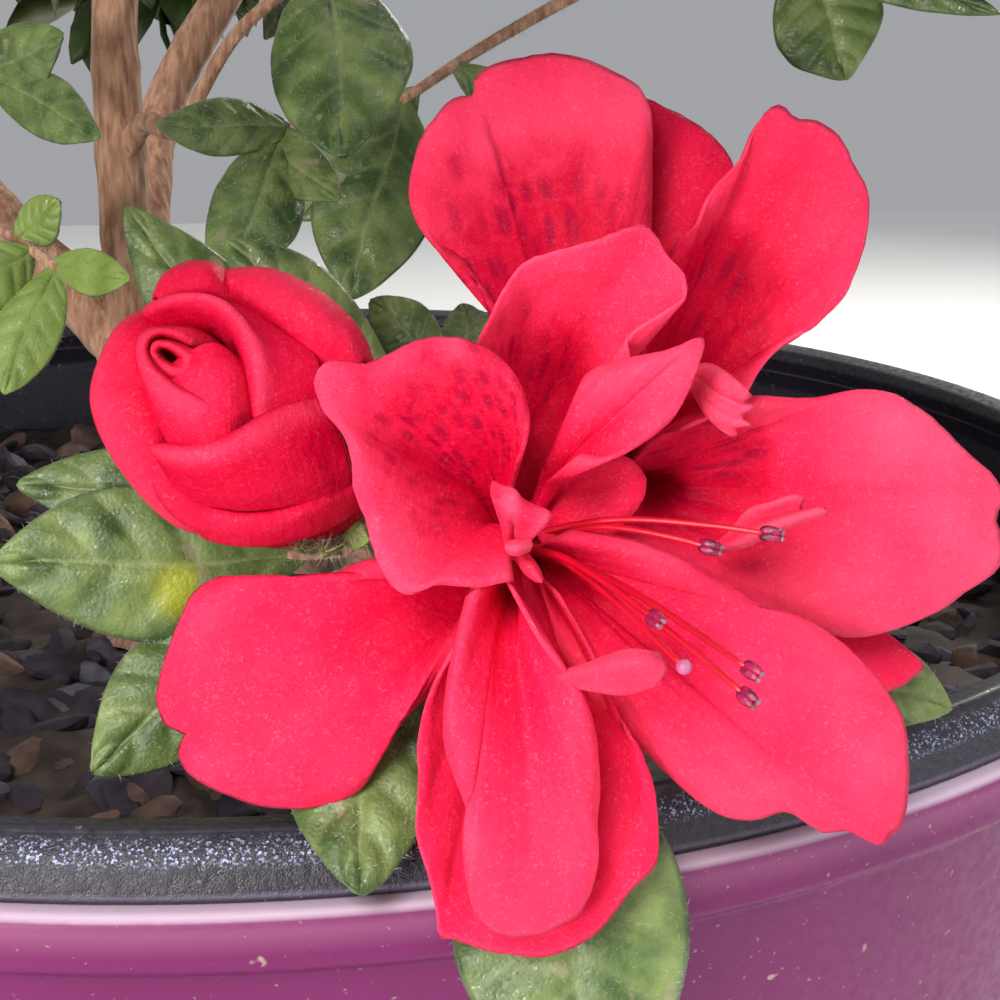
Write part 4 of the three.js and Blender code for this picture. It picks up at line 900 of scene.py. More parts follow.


# The opening bud. A point of a petal is counted across and down from the bud's corner of the view, perMm
# to the millimetre, and then near in millimetres. Each petal's lines run across it, from the line hidden
# inside the bud over its rolled rim to its back, and a wrapped petal goes on round to the bud's base.
# Each line's crimson and paleness paint light and shade: the lines tucked inside the bud and those towards
# its base are crimson, a painted shade, and the rolled rims are pale, a painted highlight. dark and pale
# shift them all.
bud = {
    "corner": [-42, 25], "perMm": 50.6, "base": [-16.6, -2.6, -5], "middle": [-26, 7, 2], "round": 5.5,
    "across": 60, "along": 44, "thickness": 0.4, "outward": 1.2, "pale": 0.4, "dark": 0.3,
}
budPetals = {
    "leftOuter": {"wrapped": True, "deep": [1, 0.8, 0.2, 0, 0.5], "tone": [0, 0.1, 0.7, 1, 0.3], "lines": [
        [[400, 300, 6.5], [420, 400, 8.5], [420, 560, 9], [430, 720, 9.5], [450, 860, 10],
         [500, 1080, 10.2], [640, 1240, 9]],
        [[370, 300, 7.5], [310, 400, 9.6], [280, 520, 10], [300, 680, 10.4], [340, 830, 10.8],
         [420, 1080, 10.6], [520, 1230, 9.8], [640, 1320, 8.6]],
        [[340, 310, 7], [230, 400, 8.8], [160, 560, 9.3], [150, 720, 9.8], [190, 860, 10.1],
         [240, 980, 9.9], [310, 1110, 9.4], [400, 1240, 8.8], [510, 1340, 8.2], [640, 1405, 7.2]],
        [[345, 300, 5.8], [215, 372, 6.6], [110, 545, 6.8], [62, 740, 7], [85, 860, 7.2], [140, 990, 7.2],
         [215, 1110, 7], [295, 1215, 6.9], [385, 1310, 6.6], [490, 1390, 6], [640, 1445, 5.2]],
        [[350, 305, 4.2], [225, 382, 4.5], [125, 550, 4.6], [80, 740, 4.8], [100, 860, 5], [155, 985, 5],
         [230, 1105, 4.9], [310, 1205, 4.7], [400, 1296, 4.3], [500, 1372, 3.8], [645, 1425, 3.2]],
    ]},
    "rearLeft": {"wrapped": True, "deep": [1, 0.7, 0.3, 0.1, 0.5], "tone": [0, 0.1, 0.3, 0.9, 0.3], "lines": [
        [[400, 300, 7], [480, 290, 7.5], [580, 285, 7.8], [680, 290, 8], [770, 310, 7.6]],
        [[395, 250, 8], [480, 200, 8.8], [570, 180, 9.2], [670, 180, 9.2], [770, 220, 8.6]],
        [[385, 235, 8], [470, 140, 8.4], [565, 105, 8.8], [660, 110, 8.8], [770, 170, 6.4]],
        [[368, 255, 6], [430, 130, 6.8], [560, 66, 7], [670, 72, 7], [765, 130, 5.2]],
        [[375, 262, 4.6], [445, 145, 4.6], [565, 85, 4.8], [665, 92, 4.8], [750, 140, 3.4]],
    ]},
    "rearRight": {"wrapped": True, "deep": [0.8, 0.5, 0.1, 0, 0.4], "tone": [0, 0.1, 0.4, 0.9, 0.3], "lines": [
        [[690, 300, 6], [770, 300, 7.5], [860, 350, 7.8], [1000, 470, 8.2], [1130, 600, 8.4],
         [1330, 760, 8]],
        [[690, 230, 7.2], [780, 220, 8.9], [880, 270, 9.6], [1050, 370, 10.2], [1190, 470, 10.2],
         [1380, 640, 9.2]],
        [[690, 160, 7.2], [800, 145, 8.6], [930, 190, 9.6], [1110, 275, 10.2], [1250, 372, 10.2],
         [1350, 460, 9.8], [1430, 570, 9]],
        [[690, 112, 6], [770, 106, 6.8], [950, 104, 7.4], [1180, 198, 7.6], [1345, 330, 7.6],
         [1440, 460, 7.2], [1490, 590, 6.4]],
        [[690, 122, 4.4], [775, 120, 4.5], [950, 125, 4.6], [1165, 215, 4.7], [1325, 345, 4.7],
         [1415, 475, 4.4], [1460, 600, 4]],
    ]},
    "middle": {"deep": [1, 0.8, 0.2, 0, 0.3, 0.6], "tone": [0, 0, 0.5, 1, 0.2, 0], "lines": [
        [[330, 440, 6.5], [380, 400, 8], [470, 400, 8], [580, 410, 8], [680, 430, 8], [760, 500, 8.2],
         [810, 600, 8.6], [840, 720, 9.2], [860, 860, 10]],
        [[325, 380, 7], [375, 330, 9.3], [470, 320, 9.8], [580, 320, 10.3], [680, 350, 10.8],
         [770, 430, 11.2], [820, 540, 11.6], [850, 690, 12], [880, 860, 12.2]],
        [[322, 340, 7.2], [380, 290, 10.2], [480, 262, 11.2], [580, 250, 11.8], [680, 275, 12.3],
         [780, 370, 12.8], [840, 480, 13.2], [875, 640, 13.5], [895, 860, 13.3]],
        [[318, 322, 6.4], [375, 270, 9.8], [480, 236, 11.3], [590, 228, 12], [700, 255, 12.6],
         [810, 350, 13.1], [885, 470, 13.5], [915, 640, 13.8], [915, 870, 13.4]],
        [[318, 315, 5.4], [378, 266, 8.4], [490, 240, 9.5], [610, 235, 10.3], [730, 270, 11],
         [850, 370, 11.8], [950, 490, 12.4], [990, 650, 12.8], [985, 850, 12.8]],
        [[325, 320, 4], [385, 275, 6], [520, 260, 7], [680, 270, 8], [830, 290, 8.8], [1010, 405, 9.6],
         [1200, 540, 10], [1215, 650, 10.5], [1200, 770, 11]],
    ]},
    "core": {"deep": [0.7, 0.25, 0.2, 0.3, 0.6], "tone": [0.1, 0.2, 0.2, 0.1, 0], "lines": [
        [[500, 560, 12.6], [580, 495, 13.2], [640, 468, 13.2], [700, 470, 12.8], [800, 560, 11]],
        [[400, 640, 12], [480, 640, 13.4], [560, 620, 14.2], [640, 590, 14.4], [720, 590, 14],
         [800, 600, 12.8], [860, 620, 10.8]],
        [[400, 740, 11.6], [480, 760, 13.6], [570, 750, 14.6], [660, 730, 14.9], [740, 720, 14.5],
         [820, 720, 13.2], [880, 730, 11]],
        [[420, 860, 11.6], [500, 870, 13.6], [590, 870, 14.7], [680, 860, 15], [760, 840, 14.6],
         [830, 830, 13.4], [890, 830, 11.6]],
        [[450, 1000, 11.4], [530, 1020, 13.2], [610, 1010, 14.2], [700, 990, 14.5], [780, 960, 14],
         [840, 930, 13], [890, 900, 11.8]],
    ]},
    "coreWrap": {"deep": [0.9, 0.1, 0, 0.5, 0.6], "tone": [0, 0.7, 0.8, 0.1, 0], "lines": [
        [[650, 560, 8], [560, 500, 11], [510, 465, 11.2], [455, 445, 11.4], [400, 440, 11.6],
         [362, 462, 11.8], [350, 520, 12.2], [378, 580, 12.6], [440, 645, 13], [510, 700, 13.6],
         [590, 735, 14], [710, 790, 13.2]],
        [[670, 530, 8.4], [585, 478, 11.6], [520, 440, 12.8], [460, 415, 13.3], [398, 408, 13.6],
         [340, 435, 13.8], [318, 500, 14], [345, 580, 14.3], [415, 655, 14.6], [490, 712, 15],
         [570, 750, 15.2], [650, 790, 14.9], [730, 850, 13.4]],
        [[700, 500, 8], [610, 450, 10.6], [530, 412, 12], [465, 402, 12.6], [395, 400, 12.9],
         [325, 425, 13], [298, 490, 13.2], [318, 590, 13.5], [385, 690, 13.9], [470, 760, 14.6],
         [560, 800, 15], [650, 850, 14.8], [740, 900, 13.4]],
        [[730, 480, 6], [640, 430, 8.2], [560, 400, 9], [470, 395, 9.3], [390, 398, 9.5], [315, 420, 9.6],
         [290, 500, 10], [320, 640, 11], [385, 800, 12.4], [480, 880, 14], [580, 930, 14.5],
         [670, 960, 14.2], [770, 960, 13.2]],
        [[740, 480, 5], [660, 430, 6], [570, 400, 6.5], [470, 395, 7], [390, 398, 7], [320, 430, 7],
         [300, 520, 7.5], [340, 700, 9.5], [410, 900, 11], [500, 1040, 12.5], [600, 1040, 13.4],
         [740, 1010, 13.2]],
    ]},
    "coreRoll": {"deep": [1, 0.1, 0.3], "tone": [0, 0.8, 0.2], "lines": [
        [[420, 540, 10.5], [405, 515, 10.5], [415, 500, 10.5], [445, 505, 10.5], [480, 530, 10.5],
         [505, 565, 10.5], [495, 590, 10.5], [455, 575, 10.5], [420, 542, 10.4], [404, 514, 10.4]],
        [[395, 560, 13.6], [368, 515, 13.7], [385, 480, 13.7], [435, 478, 13.5], [500, 505, 13.3],
         [545, 545, 13.5], [530, 600, 13.8], [460, 605, 14], [395, 561, 13.52], [367, 514, 13.6]],
        [[375, 600, 12], [350, 520, 12], [370, 465, 11.8], [440, 458, 11.5], [520, 485, 11.5],
         [590, 530, 12.5], [560, 640, 13.5], [450, 650, 13], [375, 600, 11.9], [350, 519, 11.9]],
    ]},
    "frontLip": {"deep": [0.8, 0.1, 0, 0.9, 0.7, 0.5], "tone": [0, 0.7, 0.9, 0.1, 0.1, 0], "lines": [
        [[366, 986, 11], [450, 980, 12.6], [540, 985, 13.6], [640, 970, 14.2], [740, 935, 14.4],
         [830, 890, 14.3], [900, 845, 14], [1050, 780, 12.6], [1215, 740, 10.6]],
        [[358, 996, 11.6], [440, 1008, 13.7], [540, 1014, 14.8], [640, 1000, 15.5], [740, 968, 15.8],
         [830, 920, 15.6], [900, 875, 15.2], [1050, 806, 13.9], [1215, 768, 11.8]],
        [[360, 1006, 11], [445, 1035, 13.4], [545, 1045, 14.7], [650, 1035, 15.6], [755, 1008, 15.9],
         [845, 962, 15.7], [915, 920, 15.3], [1065, 846, 13.9], [1230, 800, 11.8]],
        [[368, 1040, 9.8], [460, 1110, 12.2], [560, 1130, 13.6], [670, 1130, 14.6], [780, 1110, 15],
         [870, 1080, 14.9], [950, 1040, 14.5], [1110, 950, 13.1], [1300, 880, 10.6]],
        [[400, 1130, 8], [520, 1220, 10.6], [620, 1240, 11.8], [720, 1250, 12.6], [820, 1250, 13],
         [910, 1240, 12.8], [1000, 1220, 12.4], [1170, 1170, 11.1], [1370, 1080, 8.6]],
        [[500, 1260, 6.5], [600, 1300, 7.6], [700, 1320, 8.4], [800, 1330, 8.8], [900, 1330, 8.8],
         [990, 1320, 8.6], [1080, 1310, 8.2], [1230, 1290, 7.2], [1380, 1230, 5.4]],
    ]},
    "bottomLeft": {"deep": [0.8, 0.5, 0.4, 0.9], "tone": [0, 0.1, 0.3, 0], "lines": [
        [[440, 1120, 9.6], [520, 1180, 9.8], [620, 1230, 9.4], [740, 1290, 8.6]],
        [[395, 1130, 9.6], [460, 1225, 10], [550, 1290, 9.8], [650, 1340, 9], [740, 1360, 8]],
        [[355, 1110, 9], [400, 1220, 9.9], [470, 1310, 9.7], [560, 1380, 8.9], [660, 1420, 7.8],
         [740, 1430, 7]],
        [[350, 1130, 8], [390, 1235, 8.6], [460, 1325, 8.4], [550, 1395, 7.6], [650, 1440, 6.4],
         [740, 1455, 5.6]],
    ]},
    "bottomRight": {"wrapped": True, "deep": [0.6, 0.3, 0.4, 0.6, 0.9], "tone": [0, 0.2, 0.2, 0.1, 0], "lines": [
        [[600, 1270, 8.4], [700, 1300, 9.8], [800, 1320, 10], [900, 1320, 10], [1000, 1305, 9.8],
         [1120, 1275, 9.2], [1260, 1220, 8], [1410, 1150, 6]],
        [[600, 1330, 8.4], [710, 1350, 10.2], [800, 1365, 10.4], [900, 1358, 10.3], [1000, 1345, 10],
         [1130, 1315, 9.4], [1270, 1265, 8], [1430, 1190, 5.6]],
        [[600, 1400, 7], [720, 1425, 8.5], [830, 1438, 8.6], [930, 1434, 8.5], [1030, 1420, 8.2],
         [1150, 1385, 7.6], [1290, 1330, 6.2], [1440, 1240, 4]],
        [[610, 1448, 5], [730, 1482, 5.8], [850, 1494, 5.9], [960, 1490, 5.8], [1060, 1472, 5.6],
         [1170, 1438, 5], [1300, 1380, 4], [1440, 1280, 2.4]],
        [[620, 1430, 3], [740, 1462, 3.6], [850, 1474, 3.6], [960, 1470, 3.5], [1060, 1452, 3.3],
         [1170, 1418, 2.8], [1300, 1360, 2], [1430, 1270, 1]],
    ]},
}


def budSpot(point):
    x, y, near = point
    return [bud["corner"][0] + x / bud["perMm"], bud["corner"][1] - y / bud["perMm"], near]


# Two more lines that take a petal's back round to the bud's base
def wrapBack(line):
    base, middle = np.array(bud["base"], float), np.array(bud["middle"], float)
    line = np.array(line, float)
    side = line - middle
    side[:, 2] = -3
    belly = lerp(line, base, 0.42) + unit(side) * bud["outward"]
    foot = base + unit(line - base) * 1.4
    return [belly.tolist(), foot.tolist()]


def makeBud():
    heap = Heap("deep", "blotch", "tone")
    base, top = seen(bud["base"]), seen(bud["middle"])
    shares = np.linspace(0, 1, 25)
    radius = bud["round"] * np.sin(np.pi * (0.05 + shares * 0.9)) ** 0.6
    limb(heap, [lerp(base, top, 1.3 * s) for s in shares], radius, 40, 0, deep=0.9)
    for k, plan in enumerate(budPetals.values()):
        lines = [[budSpot(point) for point in line] for line in plan["lines"]]
        # Crimson on the tucked-in lines and towards the base is painted shade; paleness on the rolled rims is
        # painted highlight
        deeps = [lerp(deep, 1, bud["dark"]) for deep in plan["deep"]]
        paleAndHighlights = [tone * bud["pale"] for tone in plan["tone"]]
        if plan.get("wrapped"):
            lines += wrapBack(Curve(lines[-1]).spaced(8))
            deeps += [0.5, 0.9]
            paleAndHighlights += [0.1, 0]
        addLofted(heap, lines, deeps, paleAndHighlights, bud["across"], bud["along"], bud["thickness"], 3.1 * k)
    heap.piece("rose_bud_petals", [petal], "petal", ["rose_bud"])


makeBud()
print("bud made")


# Leaves of the front shoot: root, tip, width where widest, and for one of them the place of a
# painted patch of sunlight, with x, y and its reach
frontLeaves = [
    [[-19, -5.4, -17], [-51, -6.4, -10], 15.2, [-32, -9, 4]],
    [[-21, 1, -20], [-48.4, 1.5, -20], 9], [[-21, -10.5, -17], [-40.8, -27.4, -10], 12.5],
    [[-12, -12, -9], [-14, -39.7, 9], 15.5], [[6, -22, 1], [9.6, -62, 9], 23.5],
    [[28, -14, -16], [45.2, -21, -14], 9], [[-10, 10, -24], [-27.6, 26, -26], 9.5],
    [[-20, 6, -24], [-37.4, 29.4, -28], 9.5], [[-5, 13, -26], [-13, 20, -30], 6],
    [[-3, 14, -30], [-3.6, 19.6, -40], 5],
]
sepals = [
    [[-17, -3.4, -3], [-20.4, -5, 3], 2.2], [[-16.4, -3.6, -3], [-17.6, -5.6, 3], 2.2],
    [[-15.8, -3, -3], [-13.2, -4.2, 2], 2.4], [[-15.6, -2, -5], [-13.2, -0.6, -3], 2.2],
    [[-16.6, -1.8, -6], [-18.6, -1, -7], 2.2],
]
# The shoots behind the blooms: the bough that each leaves, how far along it, and the twigs with their leaves
viewShoots = {
    "view_left": {
        "from": "bough_left", "share": 0.6, "lift": 4, "end": [-60, 31, -98],
        "twigs": [
            {"through": [[-50, 27, -92], [-44, 23, -84]], "young": True, "leaves": [
                [[-45, 23, -84], [-49.6, 10.5, -78], 6.6], [[-45, 25, -84], [-37, 22, -74], 4.4],
                [[-50, 25.4, -88], [-44, 30, -84], 4.6], [[-48, 25, -86], [-56, 20, -80], 8],
            ]},
            {"through": [[-58, 39, -94], [-50, 43, -84]], "leaves": [
                [[-52, 42, -84], [-40, 36.2, -72], 6], [[-54, 42, -86], [-43.6, 46.6, -76], 7],
                [[-52, 43.6, -84], [-58, 34, -80], 8],
            ]},
        ],
    },
    "view_middle": {
        "from": "bough_upright", "share": 0.34, "lift": 4, "end": [-33, 37, -92],
        "twigs": [
            {"through": [[-28, 38, -86], [-20, 37, -80]], "leaves": [
                [[-21, 36.6, -80], [-34.4, 37.4, -66], 5.6], [[-22, 36, -80], [-28, 21, -62], 9],
                [[-26, 37, -84], [-16, 30, -70], 6],
            ]},
            {"through": [[-26, 47, -84], [-17, 54, -76]], "leaves": [
                [[-17, 53, -76], [-15.6, 34.2, -62], 14], [[-20, 50, -78], [-12, 44, -88], 8],
            ]},
        ],
    },
    "view_top": {
        "from": "bough_back", "share": 0.72, "lift": 14, "end": [10.5, 53.5, -124],
        "twigs": [
            {"through": [[-2, 45.1, -116], [-10, 39.8, -108]], "leaves": [
                [[-9.6, 40, -108], [-15, 20, -104], 12], [[-8, 40.4, -109], [-20, 28, -112], 9],
                [[-4, 42.4, -114], [6, 36, -112], 5],
            ]},
        ],
    },
}
hanging = {
    "mass": "skirt_right_front", "twig": [30, 54, -42], "radii": (1, 0.8),
    "leaves": [[[30.4, 53.4, -42], [34.6, 42, -40], 11], [[33, 54, -42], [50, 48.6, -36], 4]],
}
nearLeafMake = {
    "along": 66, "across": 28, "thickness": 0.4, "fold": 0.2, "groove": 0.5, "puff": 0.45, "veinPairs": 6,
    "arch": 1.2, "twist": 0.4, "waviness": 0.22, "sway": 0.8, "fullSize": 12, "stalk": 0.35,
}
hairMake = {
    "leafPerSquareMm": 1.6, "leafLength": 0.7, "stemPerSquareMm": 3, "stemLength": 1.1,
    "calyxPerSquareMm": 7, "calyxLength": 1.7, "width": 0.02,
}


shootMake = {
    "stub": [2.2, 2.1, 2.0, 1.8], "leafStalk": (1.0, 0.62), "bloomStalk": (1.1, 1.4), "budStalk": (1.1, 1.6),
    "lead": (1.5, 1.2), "twig": (1.15, 0.8),
}


# An oval leaf with a sunken rib, puffed between its side veins. Column 0 is on its left, seen from the eye.
def addNearLeaf(heap, leaf, root=None, slot=0):
    make = nearLeafMake
    plannedRoot, plannedTip, width, *sunPlace = leaf
    root = seen(plannedRoot) if root is None else root
    along = seen(plannedTip) - root
    across = unit(np.cross(along, forward))
    away = unit(np.cross(across, along))
    scale = (view["reach"] - (plannedRoot[2] + plannedTip[2]) / 2) / view["reach"]
    share = np.linspace(0, 1, make["along"] + 1)[:, None]
    aside = np.linspace(1, -1, make["across"] + 1)[None, :]
    swell = np.sin(np.pi * share ** 1.1)
    half = width * scale / 2 * swell ** 0.82 + make["stalk"] * (1 - share) + 0.06
    seed = plannedRoot[0] * 1.3 + plannedTip[1]
    place = share * make["veinPairs"] - np.abs(aside) * 1.1 + np.where(aside > 0, 0.45, 0)
    offVein = np.abs(place - np.round(place))
    inside = smooth(0.05, 0.14, share) * (1 - smooth(0.9, 1, share))
    sideVein = np.exp(-(offVein / 0.085) ** 2) * inside * (1 - np.abs(aside)) ** 0.35
    rib = np.exp(-(aside / 0.055) ** 2) * (1 - 0.5 * share)
    puff = (1 - np.exp(-(offVein / 0.22) ** 2)) * np.sin(np.pi * np.abs(aside)) ** 0.7 * inside
    size = min(1.0, width / make["fullSize"])
    towards = make["puff"] * size * puff - make["groove"] * size * np.exp(-(aside / 0.1) ** 2) * inside
    towards = towards - make["fold"] * half * np.abs(aside) ** 1.4
    twist = make["twist"] * size * np.sin(share * 7 + seed) * aside
    towards = towards + make["arch"] * size * np.sin(np.pi * share) - twist
    towards = towards + make["waviness"] * size * np.sin(share * 31 + seed) * np.abs(aside) ** 3
    sway = make["sway"] * size * np.sin(share * 4 + seed) * np.sin(np.pi * share)
    grid = root + share[..., None] * along + ((aside * half + sway)[..., None]) * across
    grid = grid - towards[..., None] * away
    # A painted patch of sunlight round the given place, fading out to its reach
    sunny = np.zeros_like(half * aside)
    for sunX, sunY, far in sunPlace:
        x, y, _ = asSeen(grid)
        sunny = 1 - smooth(far * 0.3, far, np.hypot(x - sunX, y - sunY))
    vein = np.clip(rib + 0.55 * sideVein, 0, 1)
    flat = np.stack([aside / 2 + 0.5 + 0 * share, share + 0 * aside], axis=-1)
    blade(heap, grid, make["thickness"], flat, slot, vein=vein, sunny=sunny)


def hairTree():
    inputs = {"Density": 1e6, "Length": 0.001, "Width": 0.00004, "Lean": 0.7, "Seed": 1}
    tree, source, sink = growTree("hairs", inputs)
    scatter = scattered(tree, source)
    strand = addNode(tree, "GeometryNodeMeshCone", {
        "Vertices": 3, "Radius Top": 0.0, "Radius Bottom": source["Width"], "Depth": source["Length"],
    })
    anyWay = randomVector(tree, (-1, -1, -1), (1, 1, 1))
    lean = vectorMaths(tree, {0: anyWay, "Scale": source["Lean"]}, "SCALE")[0]
    turn = addNode(tree, "FunctionNodeEulerToRotation", {0: lean})
    turned = addNode(tree, "FunctionNodeRotateRotation", {
        "Rotation": scatter["Rotation"], "Rotate By": turn.outputs[0],
    }, rotation_space="LOCAL")
    length = randomNumber(tree, 0.55, 1.25, 7)
    strands = placed(tree, scatter["Points"], strand.outputs["Mesh"], turned.outputs[0], length)
    return coloured(tree, source, sink, strands)


hairs = hairTree()


def addHairs(name, mesh, density, length, lean, seed, slotName):
    made = grown(name, mesh.copy(), hairs, {
        "Density": density * 1e6, "Length": length * mm, "Width": hairMake["width"] * mm, "Lean": lean,
        "Seed": seed, "Material": hair,
    })
    return dress(bpy.data.objects.new(name, made), slotName)


def shootStart(curve):
    heading = curve.tangentAt(1)
    return curve.pointAt(1) + heading * 0.3, heading


# Limbs: the trunk, and the boughs that leave its fork, each through the points that it passes
limbPlan = {
    "foot": [-14, -14, 222.3], "fork": [-21, -11, 268], "flare": 14, "footRadius": 9, "forkRadius": 6.6,
    "main": {
        "bough_upright": {
            "through": [[-22, -12, 290], [-22, -10, 320], [-17, -5, 352]], "radius": 4.4, "tip": 3,
        },
        "bough_left": {"through": [[-42, -3, 287], [-62, 4, 312], [-76, 8, 338]], "radius": 4.4, "tip": 3},
        "bough_back": {"through": [[-17, 17, 301], [-5, 24, 322], [10, 36, 350]], "radius": 4, "tip": 2.8},
    },
    "front": {"share": 0.45, "radius": 3.4, "tip": 2.2}, "view": {"radius": 2, "tip": 1.5},
    "side": {"radius": 3, "tip": 1.9}, "sideShare": 0.6, "lowShare": 0.6,
    "sides": 22, "trunkSides": 40, "relief": 0.09, "step": 2.2, "scar": 0.07, "scarSpacing": 13,
}
foot = np.array(limbPlan["foot"], float)
fork = np.array(limbPlan["fork"], float)


def planBoughs():
    boughs = {}
    for name, plan in limbPlan["main"].items():
        curve = Curve([fork + [0, 0, -3], *plan["through"]])
        boughs[name] = {"curve": curve, "radius": plan["radius"], "tip": plan["tip"]}
    front = limbPlan["front"]
    start, end = lerp(foot, fork, front["share"]), seen(shootTip)
    curve = Curve([start, lerp(start, end, 0.5) + [0, 0, -3], end])
    boughs["bough_front"] = {"curve": curve, "radius": front["radius"], "tip": front["tip"]}
    for name, shoot in viewShoots.items():
        carrier = boughs[shoot["from"]]["curve"]
        start, end = carrier.pointAt(shoot["share"]), seen(shoot["end"])
        knee = lerp(start, end, 0.5) + carrier.tangentAt(shoot["share"]) * shoot["lift"]
        boughs["bough_" + name] = {"curve": Curve([start, knee, end]), **limbPlan["view"]}
    return boughs


# The crown's leafy masses. Each has its bearing, how far out and how high it is, and its carrier.
crown = {
    "middle": [0, 6, 410], "reach": [212, 200, 180], "massReach": 84, "clearance": 0.8, "aboveRim": 253,
    "twigs": 6, "twigRadius": 1.1, "twigStart": 8, "twigShortest": 18, "twigStep": 5, "twigClear": 7,
    "leavesPerTwig": 4, "tuftLength": 38, "tuftWidth": 18, "tuftSpacing": 17, "tuftClear": 4,
    "leafLength": 26, "leafClear": 5, "sprigsPerTwig": 14, "sprigClear": 4, "leavesPerSprig": 7,
    "sprigRadii": [0.75, 0.62, 0.5], "viewHalf": 56,
    "masses": [
        ["skirt_right", 30, 126, 356, "bough_back"], ["skirt_rear", 90, 128, 350, "bough_back"],
        ["skirt_left", 150, 132, 350, "bough_left"], ["skirt_left_front", 208, 128, 366, "bough_left"],
        ["skirt_front", 268, 116, 392, "bough_upright"],
        ["skirt_right_front", 328, 130, 378, "bough_upright"],
        ["shoulder_right", 4, 88, 462, "bough_upright"], ["shoulder_rear", 92, 78, 452, "bough_back"],
        ["shoulder_left", 172, 92, 458, "bough_left"], ["shoulder_front", 262, 66, 478, "bough_upright"],
        ["crown_top", 60, 12, 526, "bough_upright"], ["low_left", 172, 104, 292, "bough_left"],
    ],
    "blooms": ["skirt_right", "skirt_left_front", "shoulder_left"], "bloomOut": 0.52, "stalkRadii": (1.1, 1),
    "tints": [["deep", 0.42], ["middle", 0.78], ["olive", 0.93], ["fresh", 1]],
}
crownMiddle = np.array(crown["middle"], float)


def planMasses(boughs):
    used, masses = {}, []
    for index, (name, bearing, out, height, carrierName) in enumerate(crown["masses"]):
        angle = math.radians(bearing)
        centre = np.array([out * math.cos(angle), out * math.sin(angle), height])
        used[carrierName] = used.get(carrierName, 0) + 1
        share = limbPlan["lowShare"] if name == "low_left" else max(0.72, 1.04 - 0.08 * used[carrierName])
        carrier = boughs[carrierName]["curve"]
        start, heading = carrier.pointAt(share), carrier.tangentAt(share)
        reach = centre - start
        knee = start + reach * limbPlan["sideShare"] * 0.45 + heading * np.linalg.norm(reach) * 0.06
        curve = Curve([start, knee, start + reach * limbPlan["sideShare"]])
        bough = {"curve": curve, **limbPlan["side"]}
        masses.append({"name": name, "centre": centre, "bough": bough, "seed": 101 + index * 17})
    return masses


boughs = planBoughs()
masses = planMasses(boughs)
centres = np.array([mass["centre"] for mass in masses])
allLimbs = list(boughs.values()) + [mass["bough"] for mass in masses]
limbSamples = np.array([bough["curve"].spaced(14) for bough in allLimbs])


# A limb with ridges along it and a slight swelling at each old leaf scar
def addBark(heap, curve, radiusAt, sides):
    length = curve.lengths[-1]
    steps = max(6, int(length / limbPlan["step"]))
    points = curve.spaced(steps)
    angles = np.arange(sides) / sides * fullTurn
    radii = []
    for i, point in enumerate(points):
        share = i / steps
        radius = radiusAt(share)
        pastScar = (share * length / limbPlan["scarSpacing"]) % 1 - 0.5
        scar = limbPlan["scar"] * math.exp(-(pastScar / 0.12) ** 2)
        ring = []
        for angle in angles:
            spot = Vector((math.cos(angle) * 1.7, math.sin(angle) * 1.7, share * length / 16))
            ridge = noise.noise(spot + Vector(point / 60)) + 0.5 * noise.noise(spot * 2.7)
            ring.append(radius * (1 + limbPlan["relief"] * ridge + scar))
        radii.append(ring)
    limb(heap, points, radii, sides)


def makeLimbs():
    heap = Heap()
    waist = lerp(foot, fork, 0.5) + [1.5, -1, 0]
    trunkCurve = Curve([foot + [0.1, -0.1, 0], waist, fork, fork + [0, 0, 1.5]])

    def trunkRadius(share):
        flare = (limbPlan["flare"] - limbPlan["footRadius"]) * max(0, 1 - share * 3) ** 1.6
        return limbPlan["footRadius"] + flare + (limbPlan["forkRadius"] - limbPlan["footRadius"]) * share

    addBark(heap, trunkCurve, trunkRadius, limbPlan["trunkSides"])
    for bough in allLimbs:
        tip, spread = bough["tip"], bough["radius"] - bough["tip"]
        addBark(heap, bough["curve"], lambda share: tip + spread * (1 - share) ** 1.3, limbPlan["sides"])
    nodes = ["trunk", *boughs, *("bough_" + mass["name"] for mass in masses)]
    heap.piece("bark_limbs", [bark], "bark", nodes)


makeLimbs()
print("limbs made")


